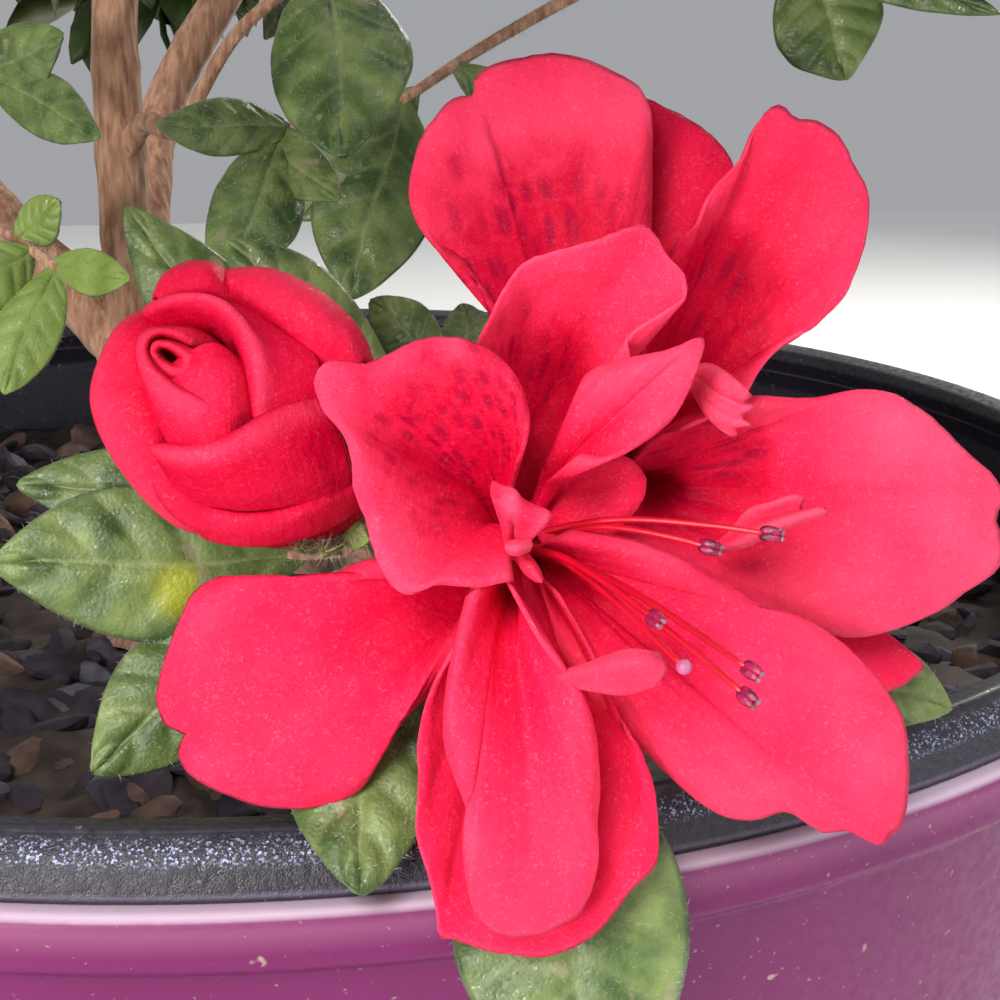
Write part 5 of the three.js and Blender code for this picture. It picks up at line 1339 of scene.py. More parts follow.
# The front shoot and the leafy shoots that the eye sees
def makeShoots():
    make = shootMake
    leaves, stems = Heap("vein", "sunny"), Heap()
    start, heading = shootStart(boughs["bough_front"]["curve"])
    heart = start + heading * 1.4
    limb(stems, [start, start + heading, start + heading * 2, start + heading * 3], make["stub"], 14)
    for leaf in frontLeaves:
        root = seen(leaf[0])
        inward = unit(seen(leaf[1]) - root)
        path = Curve([heart, lerp(heart, root, 0.5) + upward * 0.8, root, root + inward * 2.5])
        tapered(stems, path.spaced(14), make["leafStalk"], 9)
        addNearLeaf(leaves, leaf)
    calyx = Heap("vein", "sunny")
    for leaf in sepals:
        addNearLeaf(calyx, leaf)
    flowers = [(bloomBase(bloom), seen(bloom["throat"]), make["bloomStalk"]) for bloom in blooms.values()]
    flowers.append((seen(bud["base"]), seen(bud["middle"]), make["budStalk"]))
    for base, top, radii in flowers:
        path = Curve([heart, lerp(heart, base, 0.5) + upward, base + unit(base - top) * 0.3])
        tapered(stems, path.spaced(12), radii, 10, 1)
    for name, shoot in viewShoots.items():
        start, heading = shootStart(boughs["bough_" + name]["curve"])
        tapered(stems, [start + heading * 4 * s for s in np.linspace(0, 1, 5)], make["lead"], 10)
        for twig in shoot["twigs"]:
            through = [seen(spot) for spot in twig["through"]]
            path = Curve([start + heading * 2, *through])
            tapered(stems, path.spaced(26), make["twig"], 9)
            for leaf in twig["leaves"]:
                addJoinedLeaf(leaves, leaf, through[-2], through[-1], twig.get("young", False))
    nodes = ["foliage_front_shoot", *("foliage_" + name for name in viewShoots)]
    leafPiece = leaves.piece("near_leaves", [leafFine, youngLeaf], "leaf", nodes)
    stemPiece = stems.piece("near_stems", [bark, greenStem], "bark")
    calyxPiece = calyx.piece("bud_calyx", [youngLeaf], "leaf")
    for name, piece, kind, lean, seed, slotName in (
        ("bud_calyx_hairs", calyxPiece, "calyx", 0.7, 3, "leaf"),
        ("near_leaf_hairs", leafPiece, "leaf", 0.9, 5, "leaf"),
        ("near_stem_hairs", stemPiece, "stem", 0.5, 9, "bark"),
    ):
        density, length = hairMake[kind + "PerSquareMm"], hairMake[kind + "Length"]
        addHairs(name, piece.data, density, length, lean, seed, slotName)


# A leaf that joins its twig at the place nearest its root
def addJoinedLeaf(heap, leaf, start, end, young=False):
    line = end - start
    share = np.clip((seen(leaf[0]) - start) @ line / (line @ line), 0, 1)
    joint = start + line * share
    addNearLeaf(heap, leaf, lerp(joint, seen(leaf[1]), -0.03), 1 if young else 0)


makeShoots()
print("near shoots made")


# Foliage, by the same seeded rule as the solids, and on to finer twigs and leaves of true size
def ownSide(points, mass):
    others = centres[[other is not mass for other in masses]] - mass["centre"]
    half = np.linalg.norm(others, axis=1) / 2
    along = (points - mass["centre"]) @ unit(others).T
    return np.all(half - along > crown["clearance"], axis=-1)


def inView(points):
    x, y, near = asSeen(points)
    edge = crown["viewHalf"]
    outside = (np.abs(x) > edge) | (np.abs(y) > edge)
    return ~outside & ~((x < -16) & (y > 16) & (near < -112))


def allowed(points, mass):
    inside = np.linalg.norm((points - crownMiddle) / crown["reach"], axis=-1) < 1
    return (points[..., 2] > crown["aboveRim"]) & inside & ownSide(points, mass) & ~inView(points)


def clearOfLimbs(start, end, mass, distance):
    line = end - start
    spots = limbSamples.reshape(-1, 3)
    share = np.clip((spots - start) @ line / (line @ line), 0, 1)
    away = np.linalg.norm(start + share[:, None] * line - spots, axis=1) > distance
    own = len(boughs) + [other is mass for other in masses].index(True)
    away = away.reshape(limbSamples.shape[:2])
    away[own, -2:] = True
    return away.all()


# The longest legal reach of a twig, or None where it would be too short
def legalReach(begin, out, length, mass):
    while length > crown["twigShortest"]:
        end = begin + out * length
        free = begin + out * crown["twigStart"]
        if (allowed(end, mass) and allowed(lerp(begin, end, 0.5), mass)
                and clearOfLimbs(free, end, mass, crown["twigClear"])):
            return length
        length -= crown["twigStep"]
    return None


# Sprigs where the solids have a tuft, by the same draws and the same refusals
def tuftSprigs(mass, begin, out, length, axes, k, facing, random, taken):
    bearing, lift = axes
    sprigs = []
    for n in range(crown["leavesPerTwig"]):
        place = 1 - (n / crown["leavesPerTwig"]) * 0.66
        root = begin + out * (length * place - 0.5)
        turn = n * goldenAngle + k
        reach = unit(bearing * math.cos(turn) + lift * math.sin(turn) + out * 0.7)
        tip = root + reach * crown["tuftLength"] * (0.85 + 0.3 * random())
        across = unit(np.cross(reach, facing))
        middle = lerp(root, tip, 0.55)
        edges = [middle + across * d * (crown["tuftWidth"] / 2 + 1) for d in (1, -1)]
        if not allowed(np.array([root, tip, *edges]), mass).all():
            continue
        if any(np.linalg.norm(spot - middle) < crown["tuftSpacing"] for spot in taken):
            continue
        if not clearOfLimbs(root, tip, mass, crown["tuftWidth"] / 2 + crown["tuftClear"]):
            continue
        taken.append(middle)
        sprigs.append([root, reach, max(4, np.linalg.norm(tip - root) - crown["leafLength"])])
    return sprigs


def growMass(mass, twigHeap, leafSpots, petalHeap, stamenHeap):
    random = seededRandom(mass["seed"])
    fine = seededRandom(mass["seed"] + 5)
    heading = mass["bough"]["curve"].tangentAt(1)
    start = mass["bough"]["curve"].pointAt(1) + heading * 0.3
    top = lerp(mass["centre"], crownMiddle, -0.16)
    stem = Curve([start, start + heading * 10, mass["centre"], top])
    limb(twigHeap, stem.spaced(24), limbPlan["side"]["tip"] * (1 - 0.4 * np.linspace(0, 1, 25)), 8)
    outward = unit(mass["centre"] - crownMiddle)
    facing = unit(straightUp + outward * 0.8)
    taken, sprigs = [], []
    for k in range(crown["twigs"]):
        share = 0.25 + (0.72 * k) / (crown["twigs"] - 1)
        begin, around = stem.pointAt(share), stem.tangentAt(share)
        side = unit(np.cross(around, straightUp))
        over = np.cross(side, around)
        angle = k * goldenAngle + random() * 0.8
        out = side * math.cos(angle) + over * math.sin(angle)
        out = unit(out + outward * (0.3 + 0.6 * random()) + around * 0.25)
        length = legalReach(begin, out, crown["massReach"] * (0.72 + 0.28 * random()), mass)
        if length is None:
            continue
        end = begin + out * length
        narrowing = 1 - 0.4 * np.linspace(0, 1, 9)
        limb(twigHeap, straight(begin - out * 0.4, end, 9), crown["twigRadius"] * narrowing, 6)
        bearing = unit(np.array([-out[1], out[0], 0.01]))
        lift = np.cross(out, bearing)
        sprigs += tuftSprigs(mass, begin, out, length, (bearing, lift), k, facing, random, taken)
        for n in range(crown["sprigsPerTwig"]):
            place = 0.2 + 0.8 * (n + fine()) / crown["sprigsPerTwig"]
            turn = n * goldenAngle + k * 1.7 + fine()
            aim = bearing * math.cos(turn) + lift * math.sin(turn)
            reach = unit(aim + out * (0.4 + 0.5 * fine()) + outward * 0.2)
            sprigs.append([begin + out * length * place, reach, 7 + 9 * fine()])
        sprigs.append([end, out, 5])
    for root, reach, length in sprigs:
        growSprig(mass, root, reach, length, outward, fine, twigHeap, leafSpots)
    if mass["name"] in crown["blooms"]:
        flat = unit(np.array([outward[0], outward[1], outward[2] * 0.5 + 0.25]))
        centre = mass["centre"] + flat * crown["massReach"] * crown["bloomOut"]
        bend = lerp(mass["centre"], centre, 0.5) + straightUp * 2
        stalk = Curve([mass["centre"], bend, centre - flat * 6])
        tapered(twigHeap, stalk.spaced(14), crown["stalkRadii"], 8)
        growBloom(mass, centre, flat, petalHeap, stamenHeap)
    if mass["name"] == hanging["mass"]:
        begin, end = stem.pointAt(0.3), seen(hanging["twig"])
        tapered(twigHeap, straight(begin, end, 24), hanging["radii"], 8)
        return lerp(end, begin, 0.2), end
    return None


# A sprig: a short twig with its leaves whorled at its end. Its tint goes with the sprig.
def growSprig(mass, root, reach, length, outward, fine, twigHeap, leafSpots):
    end = root + reach * length
    if not allowed(end, mass) or not clearOfLimbs(lerp(root, end, 0.3), end, mass, crown["sprigClear"]):
        return
    side = unit(np.cross(reach, [0.3, 0.2, 0.93]))
    other = np.cross(reach, side)
    tintDraw = fine()
    tint = next(name for name, below in crown["tints"] if tintDraw < below)
    kept = 0
    for n in range(crown["leavesPerSprig"]):
        turn = n * goldenAngle + tintDraw * 9
        spread = 0.25 + 1.05 * n / crown["leavesPerSprig"] + 0.2 * fine()
        sideways = side * math.cos(turn) + other * math.sin(turn)
        aim = unit(reach * math.cos(spread) + sideways * math.sin(spread))
        aim = unit(aim + straightUp * 0.15)
        size = crown["leafLength"] * (0.74 + 0.36 * fine()) * (1.05 - 0.25 * n / crown["leavesPerSprig"])
        base = end - reach * length * 0.3 * n / crown["leavesPerSprig"]
        tip = base + aim * size
        if not allowed(np.array([tip, lerp(base, tip, 0.5)]), mass).all():
            continue
        if not clearOfLimbs(base, tip, mass, crown["leafClear"]):
            continue
        up = unit(straightUp + outward * 0.5 + side * (fine() - 0.5) + other * (fine() - 0.5))
        leafSpots[tint].append([*base, *aim, *up, size])
        kept += 1
    if kept:
        limb(twigHeap, [lerp(root - reach * 0.4, end, s) for s in (0, 0.5, 1)], crown["sprigRadii"], 5)


plainBloom = {
    "petals": 5, "length": 26, "width": 22, "thickness": 0.5, "depth": 7, "inner": 4, "innerShorter": 0.32,
    "innerNarrower": 0.25, "stamens": 6, "across": 18, "along": 18,
}


# A plain bloom of the crown: a ring of petals, a shorter ring inside it and its stamens
def growBloom(mass, centre, facing, petalHeap, stamenHeap):
    make = plainBloom
    side = unit(np.array([-facing[1], facing[0], 0.2]))
    other = unit(np.cross(facing, side))
    root = centre - facing * make["depth"]
    aside, share = np.meshgrid(*(np.linspace(0, 1, make[key] + 1) for key in ("across", "along")))
    for ring, count in ((0, make["petals"]), (1, make["inner"])):
        for k in range(count):
            angle = (k + ring * 0.5) / count * fullTurn
            out = side * math.cos(angle) + other * math.sin(angle)
            length = make["length"] * (1 - make["innerShorter"] * ring)
            tip = centre + out * length + facing * (5 + (k % 2) * 3 + ring * 5)
            width = make["width"] * (1 - make["innerNarrower"] * ring)
            grid = bloomPetal(root, tip, facing, width, k + ring * 7)
            box = np.stack([grid.reshape(-1, 3).min(axis=0), grid.reshape(-1, 3).max(axis=0)])
            corners = np.stack(np.meshgrid(*box.T, indexing="ij"), axis=-1).reshape(-1, 3)
            if not ownSide(corners, mass).all() or inView(corners).any():
                continue
            # Paler towards the tip and in a pale line at the rim: a painted sheen
            tone = 0.3 * share + 0.3 * smooth(0.95, 1, share)
            deep = 0.8 * (1 - smooth(0.1, 0.6, share))
            flat = np.stack([aside, share], axis=-1) + k
            blade(petalHeap, grid, make["thickness"], flat, deep=deep, blotch=0, tone=tone)
    for k in range(make["stamens"]):
        angle = k * goldenAngle
        out = side * math.cos(angle) + other * math.sin(angle)
        path = Curve([root, centre + out * 2 + facing * 4, centre + out * 6 + facing * (14 + k)])
        tapered(stamenHeap, path.spaced(12), (0.42, 0.28), 6)
        end, along = path.pointAt(1), path.tangentAt(1)
        limb(stamenHeap, [end + along * s for s in (-0.9, -0.3, 0.3, 0.9)], [0.3, 0.6, 0.6, 0.25], 8, 1)


def bloomPetal(root, tip, facing, width, seed):
    along = tip - root
    across = unit(np.cross(along, facing))
    outward = unit(np.cross(across, along))
    share = np.linspace(0, 1, plainBloom["along"] + 1)[:, None]
    aside = np.linspace(1, -1, plainBloom["across"] + 1)[None, :]
    half = width / 2 * (np.sin(np.pi * share ** 1.35) ** 0.6 * 0.98 + 0.06)
    lift = 2.6 * np.sin(np.pi * share) + 1.5 * aside ** 2 * share
    lift = lift + 0.7 * share ** 2 * np.sin(aside * 6 + seed) - 2.2 * smooth(0.75, 1, share)
    return root + share[..., None] * along + (aside * half)[..., None] * across + lift[..., None] * outward


smallLeaf = {
    "stations": [0, 0.1, 0.3, 0.52, 0.74, 0.9, 1], "halfWidth": 0.2, "arch": 0.1, "fold": 0.22,
    "halfThickness": 0.012,
}


# One small leaf of few faces, a unit long along X, its upper face towards +Z
def smallLeafMesh():
    make = smallLeaf
    heap = Heap()
    rows = []
    for share in make["stations"]:
        half = make["halfWidth"] * math.sin(math.pi * share ** 1.08) ** 0.8 + 0.012
        arch = make["arch"] * math.sin(math.pi * share) - 0.06 * share ** 2
        rows.append([[share, side * half, arch + make["fold"] * half * abs(side)] for side in (-1, 0, 1)])
    grid = np.array(rows) / mm
    half = np.array([0, 0, make["halfThickness"] / mm])
    count, columns = grid.shape[:2]
    inside = np.zeros((count, columns), bool)
    inside[1:-1, 1:-1] = True
    index = np.arange(count * columns)
    lowIndex = index.copy()
    lowIndex[inside.ravel()] = count * columns + np.arange(inside.sum())
    faces = gridFaces(count, columns)
    top = np.where(inside[..., None], grid + half, grid).reshape(-1, 3)
    points = np.concatenate([top, (grid - half).reshape(-1, 3)[inside.ravel()]])
    heap.add(points, np.concatenate([faces, lowIndex[faces[:, ::-1]]]))
    return heap.mesh("small leaf", [])


# Leaves on points that carry where each aims, where its upper face looks and its size
def leafTree():
    inputs = {"Leaf": "NodeSocketObject", "Leaf Scale": 1.0}
    tree, source, sink = growTree("leaves on points", inputs)
    leaf = addNode(tree, "GeometryNodeObjectInfo", {"Object": source["Leaf"]}, transform_space="ORIGINAL")

    def named(name, kind):
        return addNode(tree, "GeometryNodeInputNamedAttribute", {"Name": name}, data_type=kind).outputs[0]

    aim, facing = named("aim", "FLOAT_VECTOR"), named("facing", "FLOAT_VECTOR")
    aimed = addNode(tree, "FunctionNodeAlignRotationToVector", {"Vector": aim}, axis="X")
    faced = addNode(tree, "FunctionNodeAlignRotationToVector", {
        "Rotation": aimed.outputs[0], "Vector": facing,
    }, axis="Z", pivot_axis="X")
    size = times(tree, named("size", "FLOAT"), source["Leaf Scale"])
    leaves = placed(tree, source["Geometry"], leaf.outputs["Geometry"], faced.outputs[0], size)
    return coloured(tree, source, sink, leaves)


def leafPoints(name, spots):
    spots = np.array(spots, float)
    points = bpy.data.meshes.new(name)
    points.from_pydata((spots[:, :3] * mm).tolist(), [], [])
    for key, columns in (("aim", slice(3, 6)), ("facing", slice(6, 9))):
        layer = points.attributes.new(key, "FLOAT_VECTOR", "POINT")
        layer.data.foreach_set("vector", spots[:, columns].astype(np.float32).ravel())
    layer = points.attributes.new("size", "FLOAT", "POINT")
    layer.data.foreach_set("value", (spots[:, 9] * mm).astype(np.float32))
    return points


def makeCrown():
    twigHeap, petalHeap, stamenHeap = Heap(), Heap("deep", "blotch", "tone"), Heap()
    hangHeap = Heap("vein", "sunny")
    leafSpots = {tint: [] for tint in leafTints}
    for mass in masses:
        line = growMass(mass, twigHeap, leafSpots, petalHeap, stamenHeap)
        if line:
            for leaf in hanging["leaves"]:
                addJoinedLeaf(hangHeap, leaf, *line)
    twigHeap.piece("crown_twigs", [bark], "bark")
    petalHeap.piece("crown_petals", [petal], "petal")
    stamenHeap.piece("crown_stamens", [filament, anther], "petal")
    hangHeap.piece("hanging_leaves", [leafFine, youngLeaf], "leaf")
    shape = bpy.data.objects.new("leaf shape", smallLeafMesh())
    tree = leafTree()
    nodes = ["foliage_" + mass["name"] for mass in masses]
    for tint, spots in leafSpots.items():
        name = "crown_leaves_" + tint
        made = grown(name, leafPoints(name, spots), tree, {"Leaf": shape, "Material": leafTints[tint]})
        dress(bpy.data.objects.new(name, made), "leaf", nodes if tint == "deep" else ())
        print("leaves", tint, len(spots), "faces", len(made.polygons))
    bpy.data.objects.remove(shape)


makeCrown()
print("crown made")


# The pot: a purple shell whose ledge is painted pale, a highlight that is partly wear; a black liner whose
# rough lip has painted glints and a painted highlight along its foot; and bark mix
pot = {
    "height": 238, "rim": 145, "foot": 112, "shell": 1.8, "liner": 1.4, "floor": 3, "collar": 6, "step": 1.8,
    "lip": 7, "lipOuter": 142.4, "lipInner": 134, "drains": 6, "drainWidth": 18, "drainHeight": 9,
    "mixTop": 222, "gap": 0.3, "segments": 240, "round": 0.7,
}
# Bark chips. Each kind has its share and its two colours.
chips = {
    "perSquareMm": 0.015, "small": 1.8, "large": 6, "sink": 1.8,
    "kinds": [
        ("dark", 1.0, (0.012, 0.009, 0.014, 1), (0.04, 0.03, 0.042, 1)),
        ("brown", 0.4, (0.05, 0.03, 0.026, 1), (0.16, 0.09, 0.07, 1)),
        ("grey", 0.35, (0.03, 0.03, 0.045, 1), (0.10, 0.095, 0.13, 1)),
    ],
}


def wallRadius(height):
    return pot["foot"] + (pot["rim"] - pot["step"] - pot["foot"]) * height / pot["height"]


def linerOutside(height):
    return wallRadius(height) - pot["shell"] - pot["gap"]


def linerInside(height):
    return linerOutside(height) - pot["liner"]


# Rounds the corners of a profile, but for those on the axis
def rounded(profile, radius, closed):
    profile = [np.array(p, float) for p in profile]
    count = len(profile)
    made = []
    for i, corner in enumerate(profile):
        if not closed and i in (0, count - 1):
            made.append(corner)
            continue
        before, after = profile[i - 1], profile[(i + 1) % count]
        cut = min(radius, np.linalg.norm(before - corner) * 0.45, np.linalg.norm(after - corner) * 0.45)
        start = corner + unit(before - corner) * cut
        end = corner + unit(after - corner) * cut
        for s in (0, 0.33, 0.67, 1):
            made.append(lerp(lerp(start, corner, s), lerp(corner, end, s), s))
    return made


# Turns a profile of radius and height round the pot's axis, bottom first on the outside
def lathe(heap, profile, closed, slot=0):
    segments = pot["segments"]
    angles = np.arange(segments) / segments * fullTurn
    rings, points = [], []
    for radius, height in profile:
        first = len(points)
        if radius < 1e-6:
            points.append([0, 0, height])
            rings.append([first] * segments)
            continue
        points.extend([radius * math.cos(a), radius * math.sin(a), height] for a in angles)
        rings.append(list(range(first, first + segments)))
    if closed:
        rings.append(rings[0])
    faces = []
    for low, high in zip(rings, rings[1:]):
        for j in range(segments):
            k = (j + 1) % segments
            face = list(dict.fromkeys([low[j], low[k], high[k], high[j]]))
            if len(face) > 2:
                faces.append(face)
    heap.add(points, faces, None, slot)


def drainCutters():
    heap = Heap()
    out, side, tall = 15, pot["drainWidth"] / 2, pot["drainHeight"]
    square = ((-1, -1), (1, -1), (1, 1), (-1, 1))
    sides = [[k, (k + 1) % 4, (k + 1) % 4 + 4, k + 4] for k in range(4)]
    for k in range(pot["drains"]):
        angle = (k + 0.5) / pot["drains"] * fullTurn
        outDir = np.array([math.cos(angle), math.sin(angle), 0])
        sideDir = np.array([-math.sin(angle), math.cos(angle), 0])
        middle = outDir * wallRadius(tall) + straightUp * (pot["floor"] + 1)
        corners = [middle + outDir * a * out + sideDir * b * side + straightUp * c * tall
                   for c in (0, 1) for a, b in square]
        heap.add(corners, [[3, 2, 1, 0], [4, 5, 6, 7], *sides])
    return bpy.data.objects.new("drain cutters", heap.mesh("drain cutters", []))


def cutDrains(mesh, cutter):
    carrier = bpy.data.objects.new("carrier", mesh)
    bpy.context.scene.collection.objects.link(carrier)
    cut = carrier.modifiers.new("drains", "BOOLEAN")
    cut.operation = "DIFFERENCE"
    cut.solver = "EXACT"
    cut.object = cutter
    made = bpy.data.meshes.new_from_object(carrier.evaluated_get(bpy.context.evaluated_depsgraph_get()))
    bpy.data.objects.remove(carrier)
    made.set_sharp_from_angle(angle=math.radians(32))
    return made


def bandMask(tree, value, low, high, soft):
    rise = ranged(tree, value, low - soft, low + soft)
    fall = ranged(tree, value, high + soft, high - soft)
    return times(tree, rise, fall)


def heightAndRadius(tree, place):
    height = addNode(tree, "ShaderNodeSeparateXYZ", {0: place}).outputs["Z"]
    level = vectorMaths(tree, {0: place, 1: (1, 1, 0)}, "MULTIPLY")[0]
    return height, vectorMaths(tree, {0: level}, "LENGTH")["Value"]


def potShellMaterial():
    tree, joined = newMaterial("pot shell", Specular_IOR_Level=0.3)
    place = objectPlace(tree)
    height, _ = heightAndRadius(tree, place)
    cloud = clouds(tree, place, 18.0, 4.0)
    fine = clouds(tree, place, 700.0)
    purple = mixed(tree, cloud, finish["potPurple"], finish["potShade"])
    hazeOn = bandMask(tree, height, 0.235, 0.2374, 0.0014)
    hazed = mixed(tree, times(tree, hazeOn, 0.34), purple, finish["potHaze"])
    # The ledge's top face is pale lilac: a painted highlight along the ledge, partly wear
    ledgeHighlightAndWear = mixed(tree, ranged(tree, height, 0.2372, 0.2377), hazed, finish["potLedgeHighlightAndWear"])
    dust = useGroup(tree, speckle, Vector=place, Scale=1100.0, Cover=0.035, Softness=0.05)
    spots = useGroup(tree, speckle, Vector=place, Scale=260.0, Cover=-0.005, Softness=0.03)
    dusty = mixed(tree, times(tree, dust["Mask"], 0.4), ledgeHighlightAndWear, finish["dust"])
    dusty = mixed(tree, times(tree, spots["Mask"], 0.6), dusty, finish["grit"])
    normal = bumped(tree, fine, 0.12, 0.0003)
    return joined(
        Base_Color=dusty, Roughness=ranged(tree, fine, 0.3, 0.7, 0.28, 0.5),
        Normal=bumped(tree, spots["Mask"], 0.4, 0.0004, normal),
    )


def potLinerMaterial():
    tree, joined = newMaterial("pot liner", Specular_IOR_Level=0.55)
    place = objectPlace(tree)
    height, radius = heightAndRadius(tree, place)
    grain = clouds(tree, place, 900.0, 4.0)
    cells = useGroup(tree, cellGrain, Vector=place, Scale=4600.0)
    cloud = clouds(tree, place, 60.0, 4.0)
    black = mixed(tree, cloud, finish["potBlack"], finish["blackWorn"])
    # Painted glints: bluish-white cells on the lip's rough outer slope stand for light caught by its grain
    glintBand = bandMask(tree, radius, 0.1393, 0.145, 0.0004)
    onTop = bandMask(tree, height, 0.2418, 0.2438, 0.0005)
    glints = times(tree, times(tree, glintBand, onTop), cells["Glint"])
    # Painted highlight: a pale lilac-grey line where the lip's lower edge catches the light
    footHighlightBand = bandMask(tree, height, 0.2386, 0.2391, 0.0002)
    footLit = mixed(tree, times(tree, footHighlightBand, 0.6), black, finish["paintedFootHighlight"])
    glinted = mixed(tree, times(tree, glints, 0.85), footLit, finish["paintedGlint"])
    specks = useGroup(tree, speckle, Vector=place, Scale=900.0, Cover=0.03, Softness=0.05)
    rubbed = bandMask(tree, height, 0.2385, 0.2438, 0.0006)
    normal = bumped(tree, times(tree, grain, ranged(tree, rubbed, 0, 1, 0.15, 1.0)), 0.6, 0.0006)
    return joined(
        Base_Color=mixed(tree, times(tree, specks["Mask"], 0.4), glinted, finish["blackDust"]),
        Roughness=ranged(tree, grain, 0.3, 0.7, 0.25, 0.6),
        Normal=bumped(tree, times(tree, cells["Height"], rubbed), 0.3, 0.0003, normal),
    )


def mixMaterial(name, dark, light):
    return plainMaterial(name, dark, light, 160, 0.9, Specular_IOR_Level=0.3)


def makePot():
    cutter = drainCutters()
    bpy.context.scene.collection.objects.link(cutter)
    collarFoot = pot["height"] - pot["collar"]
    height = pot["height"]
    shell = Heap()
    lathe(shell, rounded([
        [0, 0], [pot["foot"] - 1, 0], [pot["foot"], 1],
        [wallRadius(collarFoot - pot["step"]), collarFoot - pot["step"]],
        [pot["rim"], collarFoot], [pot["rim"], height - 0.9], [pot["rim"] - 0.9, height],
        [wallRadius(height) - pot["shell"], height],
        [wallRadius(pot["floor"]) - pot["shell"], pot["floor"]], [0, pot["floor"]],
    ], pot["round"], False), False)
    made = cutDrains(shell.mesh("pot_shell_wall", [potShellMaterial()]), cutter)
    dress(bpy.data.objects.new("pot_shell_wall", made), "pot_purple", ["pot_shell"])
    lipTop = height + pot["lip"]
    liner = Heap()
    lathe(liner, rounded([
        [linerInside(pot["floor"]), pot["floor"]], [linerOutside(pot["floor"]), pot["floor"]],
        [linerOutside(height), height], [pot["lipOuter"], height], [pot["lipOuter"], height + 1.2],
        [pot["lipOuter"] - 1.2, lipTop - 2.4], [pot["lipOuter"] - 3.6, lipTop],
        [pot["lipInner"] + 1, lipTop - 0.9], [pot["lipInner"], lipTop - 2.8],
        [linerInside(height - 3), height - 3],
    ], pot["round"], True), True)
    made = cutDrains(liner.mesh("pot_liner_wall", [potLinerMaterial()]), cutter)
    dress(bpy.data.objects.new("pot_liner_wall", made), "pot_black", ["pot_liner"])
    bpy.data.objects.remove(cutter)


def mixInside(height):
    return linerInside(height) - pot["gap"]


def chipTree():
    inputs = {"Density": 9000.0, "Small": 0.002, "Large": 0.007, "Rough": 0.5, "Seed": 1}
    tree, source, sink = growTree("bark chips", inputs)
    scatter = scattered(tree, source)
    chip = addNode(tree, "GeometryNodeMeshIcoSphere", {"Radius": 1.0, "Subdivisions": 2})
    size = randomNumber(tree, source["Small"], source["Large"], 11)
    shape = randomVector(tree, (0.7, 0.45, 0.22), (1.5, 0.9, 0.55), 12)
    scale = vectorMaths(tree, {0: shape, "Scale": size}, "SCALE")[0]
    turn = randomVector(tree, (-0.7, -0.7, 0), (0.7, 0.7, 6.28), 13)
    chipsPlaced = placed(tree, scatter["Points"], chip.outputs["Mesh"], turn, scale)
    grain = addNode(tree, "ShaderNodeTexNoise", {"Scale": 170.0, "Detail": 2.0})
    centred = vectorMaths(tree, {0: grain.outputs["Color"], 1: (0.5, 0.5, 0.5)}, "SUBTRACT")[0]
    push = times(tree, source["Large"], source["Rough"])
    offset = vectorMaths(tree, {0: centred, "Scale": push}, "SCALE")[0]
    moved = addNode(tree, "GeometryNodeSetPosition", {"Geometry": chipsPlaced, "Offset": offset})
    return coloured(tree, source, sink, moved.outputs[0])


def makeMix():
    top, base = pot["mixTop"], pot["floor"] + pot["gap"]
    profile = [[0, base], [mixInside(base), base], [mixInside(top), top - 2.5]]
    profile += [[radius, top - 1.5] for radius in np.linspace(mixInside(top) - 1, 0, 40)]
    heap = Heap()
    lathe(heap, profile, False)
    ground = mixMaterial("mix dark", (0.018, 0.012, 0.011, 1), (0.05, 0.035, 0.03, 1))
    mesh = heap.mesh("mix_ground", [ground])
    places = np.zeros(len(mesh.vertices) * 3)
    mesh.vertices.foreach_get("co", places)
    places = places.reshape(-1, 3)
    for spot in places:
        if spot[2] > (top - 2) * mm:
            spot[2] += 0.0022 * noise.noise(Vector(spot * 130)) + 0.0012 * noise.noise(Vector(spot * 420))
    mesh.vertices.foreach_set("co", places.ravel())
    dress(bpy.data.objects.new("mix_ground", mesh), "bark_mix", ["potting_mix"])
    disc = Heap()
    inner = mixInside(top) - chips["large"] * 1.3
    lathe(disc, [[radius, top - chips["sink"]] for radius in (0, inner * 0.5, inner)], False)
    surface = disc.mesh("chip surface", [])
    tree = chipTree()
    for k, (kind, share, dark, light) in enumerate(chips["kinds"]):
        made = grown("mix_chips_" + kind, surface.copy(), tree, {
            "Density": chips["perSquareMm"] * 1e6 * share, "Seed": 21 + k,
            "Small": chips["small"] * mm, "Large": chips["large"] * mm,
            "Material": mixMaterial("mix " + kind + " chip", dark, light),
        })
        made.polygons.foreach_set("use_smooth", [False] * len(made.polygons))
        dress(bpy.data.objects.new("mix_chips_" + kind, made), "bark_mix")
        print("chips", kind, len(made.polygons))


makePot()
makeMix()
print("pot made")


# The stage: a pale floor, soft lights and the camera
studio = {"floor": 4.0, "world": (0.80, 0.82, 0.86, 1), "worldStrength": 0.45, "lens": 72}


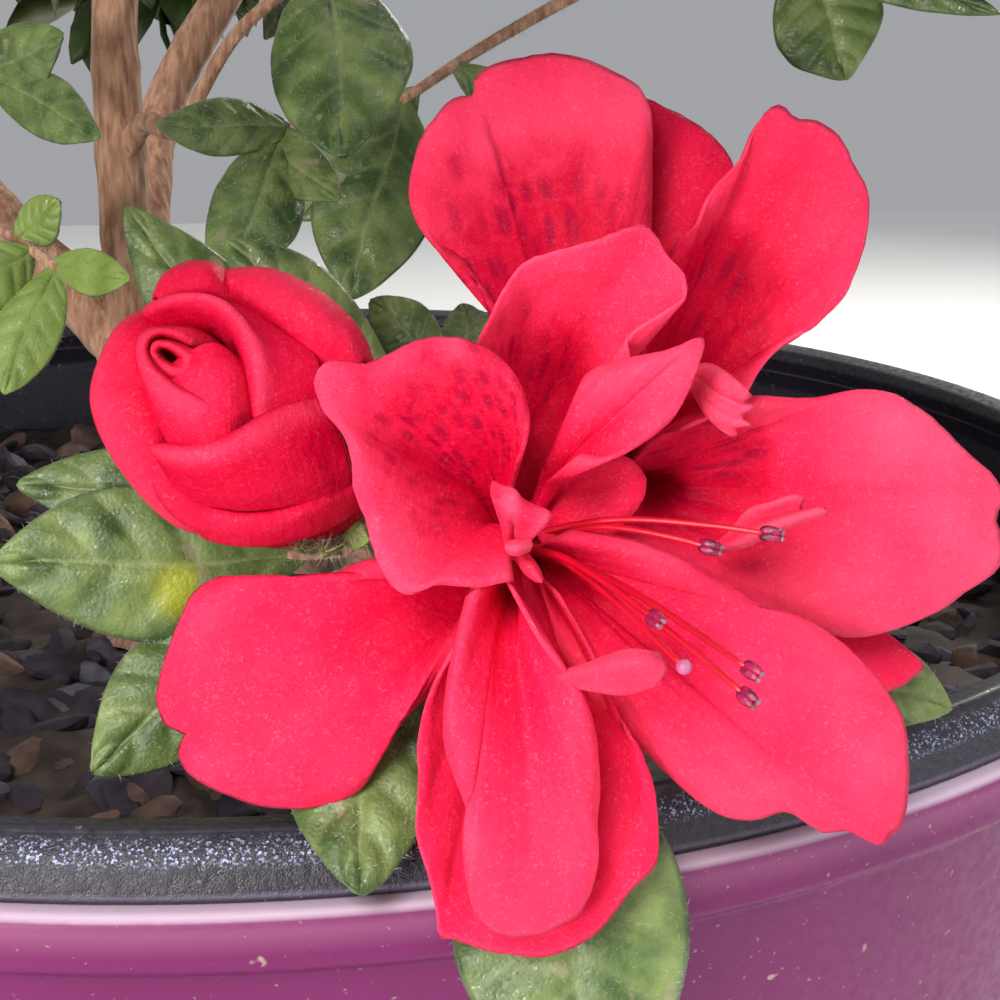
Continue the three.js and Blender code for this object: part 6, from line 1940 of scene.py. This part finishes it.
def makeStage():
    size = studio["floor"] / 2
    corners = [(-size, -size, 0), (size, -size, 0), (size, size, 0), (-size, size, 0)]
    mesh = bpy.data.meshes.new("floor")
    mesh.from_pydata(corners, [], [(0, 1, 2, 3)])
    mesh.materials.append(plainMaterial("floor", (0.62, 0.62, 0.61, 1), (0.66, 0.66, 0.65, 1), 3, 0.8))
    floor = bpy.data.objects.new("floor", mesh)
    bpy.context.scene.collection.objects.link(floor)
    world = bpy.data.worlds.new("studio")
    bpy.context.scene.world = world
    world.use_nodes = True
    backdrop = world.node_tree.nodes["Background"]
    backdrop.inputs["Color"].default_value = studio["world"]
    backdrop.inputs["Strength"].default_value = studio["worldStrength"]


def addLamp(name, at, towards, size, power, colour):
    lamp = bpy.data.lights.new(name, "AREA")
    lamp.shape = "DISK"
    lamp.size = size
    lamp.energy = power
    lamp.color = colour
    holder = bpy.data.objects.new(name, lamp)
    holder.location = at
    holder.rotation_euler = (Vector(towards) - Vector(at)).to_track_quat("-Z", "Y").to_euler()
    bpy.context.scene.collection.objects.link(holder)


def addCamera():
    camera = bpy.data.objects.new("camera", bpy.data.cameras.new("camera"))
    camera.data.sensor_width = 36
    camera.data.lens = studio["lens"]
    camera.data.clip_start = 0.01
    camera.location = eyeAt * mm
    camera.rotation_euler = (math.radians(90 - view["pitch"]), 0, math.radians(-view["yaw"]))
    bpy.context.scene.collection.objects.link(camera)
    bpy.context.scene.camera = camera


makeStage()
addLamp("key", (-0.5, -1.2, 1.3), (0, -0.1, 0.28), 0.7, 19, (1.0, 0.97, 0.93))
addLamp("sky", (0.2, 0.1, 1.9), (0, -0.1, 0.28), 1.6, 30, (0.92, 0.96, 1.0))
addLamp("fill", (1.3, -0.9, 0.6), (0, -0.1, 0.26), 1.2, 5, (0.9, 0.95, 1.0))
addLamp("low", (-0.9, -1.1, 0.42), (-0.02, 0, 0.33), 0.5, 13, (1.0, 0.98, 0.95))
addLamp("back", (0.9, 1.2, 1.0), (0.03, -0.1, 0.3), 0.4, 26, (1.0, 0.95, 0.86))
addCamera()
bpy.context.scene.view_settings.view_transform = "Standard"
print("stage made")
